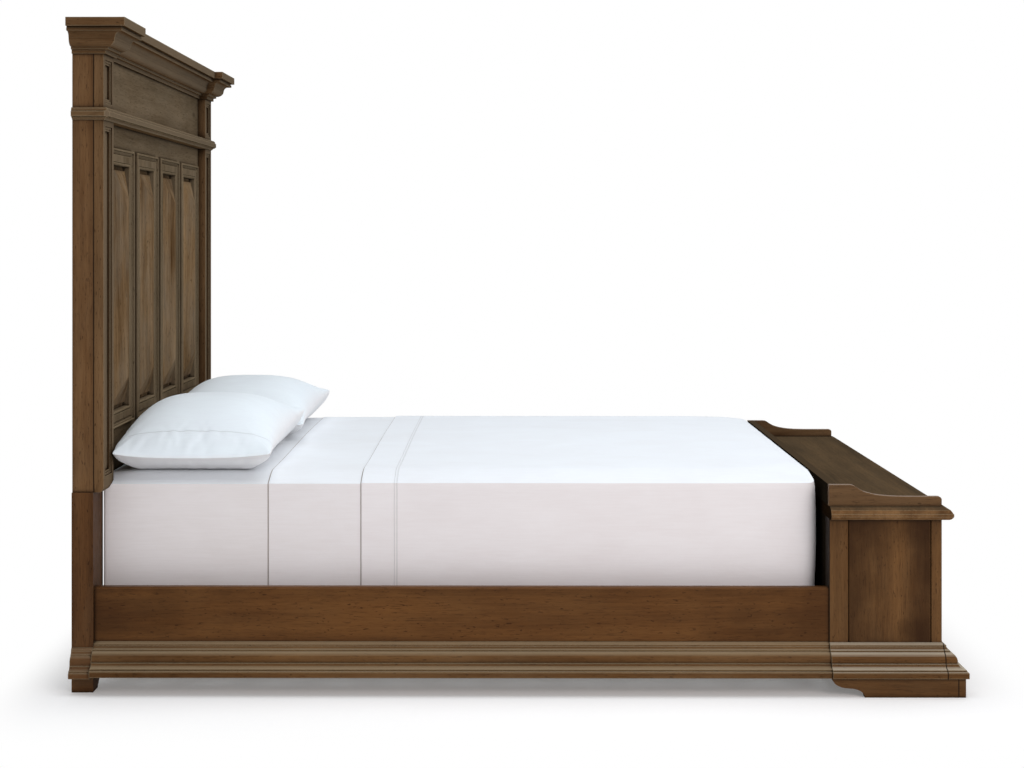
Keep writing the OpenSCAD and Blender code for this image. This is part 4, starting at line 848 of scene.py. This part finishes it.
# Top sheet
# A second sheet over the first, with a wide band at its head end marked by two stitch lines.
top_sheet = lay_sheet("top_sheet_cloth", top_sheet_head, off=0.0040, thickness=0.0026,
                      ripple=0.0016, seed=11.0)
top_sheet.data.materials.clear()
band = 0.100
top_sheet.data.materials.append(
    cotton("top_sheet_cotton", (0.88, 0.89, 0.90), (0.83, 0.825, 0.83),
           seams=(("X", top_sheet_head + band, 0.0012),
                  ("X", top_sheet_head + band - 0.007, 0.0008))))
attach(top_sheet, "frame")
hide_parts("top_sheet")


# Pillows
# Two soft pillows in plain cases, filled by a cloth simulation with pressure.
# The near case's open end has a stitched hem and a loose lip.
def sewn_bag(name, size, cell):
    """Two cloth sides sewn at their rim: one grid, copied up and joined at the edge."""
    columns, rows = round(size[0] / cell), round(size[1] / cell)
    bpy.ops.mesh.primitive_grid_add(x_subdivisions=columns, y_subdivisions=rows, size=1)
    bag = bpy.context.object
    bag.name = name
    bag.dimensions = (size[0], size[1], 0)
    bpy.ops.object.transform_apply(location=True, rotation=True, scale=True)
    bpy.ops.object.mode_set(mode="EDIT")
    bpy.ops.mesh.select_all(action="SELECT")
    bpy.ops.mesh.extrude_region_move(TRANSFORM_OT_translate={"value": (0, 0, 0.004)})
    bpy.ops.object.mode_set(mode="OBJECT")
    for v in bag.data.vertices:
        rim = min(size[0] / 2 - abs(v.co.x), size[1] / 2 - abs(v.co.y))
        v.co.z = 0 if rim < 1e-4 else (0.006 if v.co.z > 0.002 else -0.006)
    bpy.ops.object.mode_set(mode="EDIT")
    bpy.ops.mesh.select_all(action="SELECT")
    bpy.ops.mesh.remove_doubles(threshold=0.0005)
    bpy.ops.mesh.select_all(action="SELECT")
    bpy.ops.mesh.normals_make_consistent(inside=False)
    bpy.ops.object.mode_set(mode="OBJECT")
    if max(bag.data.polygons, key=lambda face: face.center.z).normal.z < 0:
        bpy.ops.object.mode_set(mode="EDIT")
        bpy.ops.mesh.flip_normals()
        bpy.ops.object.mode_set(mode="OBJECT")
    return bag


def fill_bag(bag, frames, pressure):
    """Blow a bag up for some frames, so that its case creases at the seams."""
    cloth = bag.modifiers.new("filling", "CLOTH")
    fabric = cloth.settings
    fabric.quality = 6
    fabric.mass = 0.25
    fabric.tension_stiffness = fabric.compression_stiffness = 12
    fabric.shear_stiffness = 4
    fabric.bending_stiffness = 0.3
    fabric.air_damping = 2
    fabric.use_pressure = True
    fabric.uniform_pressure_force = pressure
    fabric.effector_weights.gravity = 0
    cloth.collision_settings.use_collision = False
    cloth.point_cache.frame_start, cloth.point_cache.frame_end = 1, frames
    for f in range(1, frames + 1):
        scene.frame_set(f)
    pick(bag)
    bpy.ops.object.modifier_apply(modifier=cloth.name)
    scene.frame_set(1)


# How high the near pillow stands at its middle and how high its seam runs at the
# near and far side, its half size once filled, and the size of its flat case
crest, seam_near, seam_far = 0.192, 0.060, 0.104
half_l, half_w, cut_l, cut_w = 0.2335, 0.349, 0.535, 0.755
bag = sewn_bag("pillow_near", (cut_l, cut_w), cell=0.0118)
flat = [v.co.copy() for v in bag.data.vertices]
fill_bag(bag, frames=11, pressure=5.0)
filled = [v.co.copy() for v in bag.data.vertices]
relax(bag, 14)
for v, f, full in zip(bag.data.vertices, flat, filled):
    # u and w run from -1 to 1 over the case, and the creases are what the filled
    # cloth has over the same cloth smoothed
    u, w = f.x / (cut_l / 2), f.y / (cut_w / 2)
    crease = full - v.co
    rim = max(abs(u), abs(w))
    crease *= 0.9 * min(1.0, (1 - rim) / 0.05)
    # In plan the sides pull in between the corners, and the near end has a lip
    x = u * (half_l - 0.006 * (1 - abs(w) ** 4))
    x += 0.014 * max(0.0, u) ** 3 * (w + 1) / 2
    lip = max(0.0, (-w - 0.84) / 0.16)
    x += lip * (0.017 * max(0.0, -u) ** 3 + 0.006 * max(0.0, u) ** 3)
    y = w * (half_w - 0.005 * (1 - abs(u) ** 4)) - 0.045 * lip ** 1.5
    # In section a full dome stands over the seam, and a flatter belly under it
    seam = seam_near + (seam_far - seam_near) * (w + 1) / 2
    seam -= 0.016 * (1 - abs(u) ** 3) * max(0.0, -w) ** 3
    dome = (1 - abs(u) ** 3) ** 0.6 * (1 - abs(w) ** 2.3) ** 0.95
    foot_in = min(1.0, min((1 - abs(u)) / 0.30, (1 - abs(w)) / 0.17))
    if f.z > 0.001:
        z = seam + (crest - seam) * dome + max(-0.008, crease.z)
        pucker = wander(f.x * 42, f.y * 9, 4.0)
        z += 0.004 * pucker * max(0.0, 1 - abs(f.y + 0.345) / 0.05)
    elif f.z < -0.001:
        z = max(0.0008, seam - seam * foot_in ** 0.75 + min(0.0, crease.z))
        y += 0.012 * max(0.0, -w) ** 12
        pucker = wander(f.x * 48, f.y * 8, 9.0)
        y += 0.005 * pucker * max(0.0, -w) ** 8
    else:
        z = seam
        y -= 0.003 if w < -0.999 else 0
    v.co = (x + crease.x, y + crease.y, z)
pick(bag)
smooth = bag.modifiers.new("smooth", "SUBSURF")
smooth.levels = smooth.render_levels = 1
bpy.ops.object.modifier_apply(modifier=smooth.name)
bpy.ops.object.shade_smooth_by_angle(angle=math.radians(60))
far_bag = bag.copy()
far_bag.data = bag.data.copy()
far_bag.name = "pillow_far"
scene.collection.objects.link(far_bag)
bed_top = bed_high.z + 0.0008
for piece, at, hem, fullness in ((bag, (-0.940, -0.387), -0.668, 1.0),
                                 (far_bag, (-0.935, 0.349), 0.069, 0.93)):
    for v in piece.data.vertices:
        v.co.z *= fullness
        v.co += Vector((at[0], at[1], bed_top + rise(at[1] + 0.9 * v.co.y)))
    piece.data.materials.clear()
    piece.data.materials.append(
        cotton(piece.name + "_case", (0.86, 0.905, 0.915), (0.81, 0.84, 0.86), crease=0.3,
               seams=(("Y", hem, 0.0010),)))
    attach(piece, "frame")
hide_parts("pillows")
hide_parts("pillows")
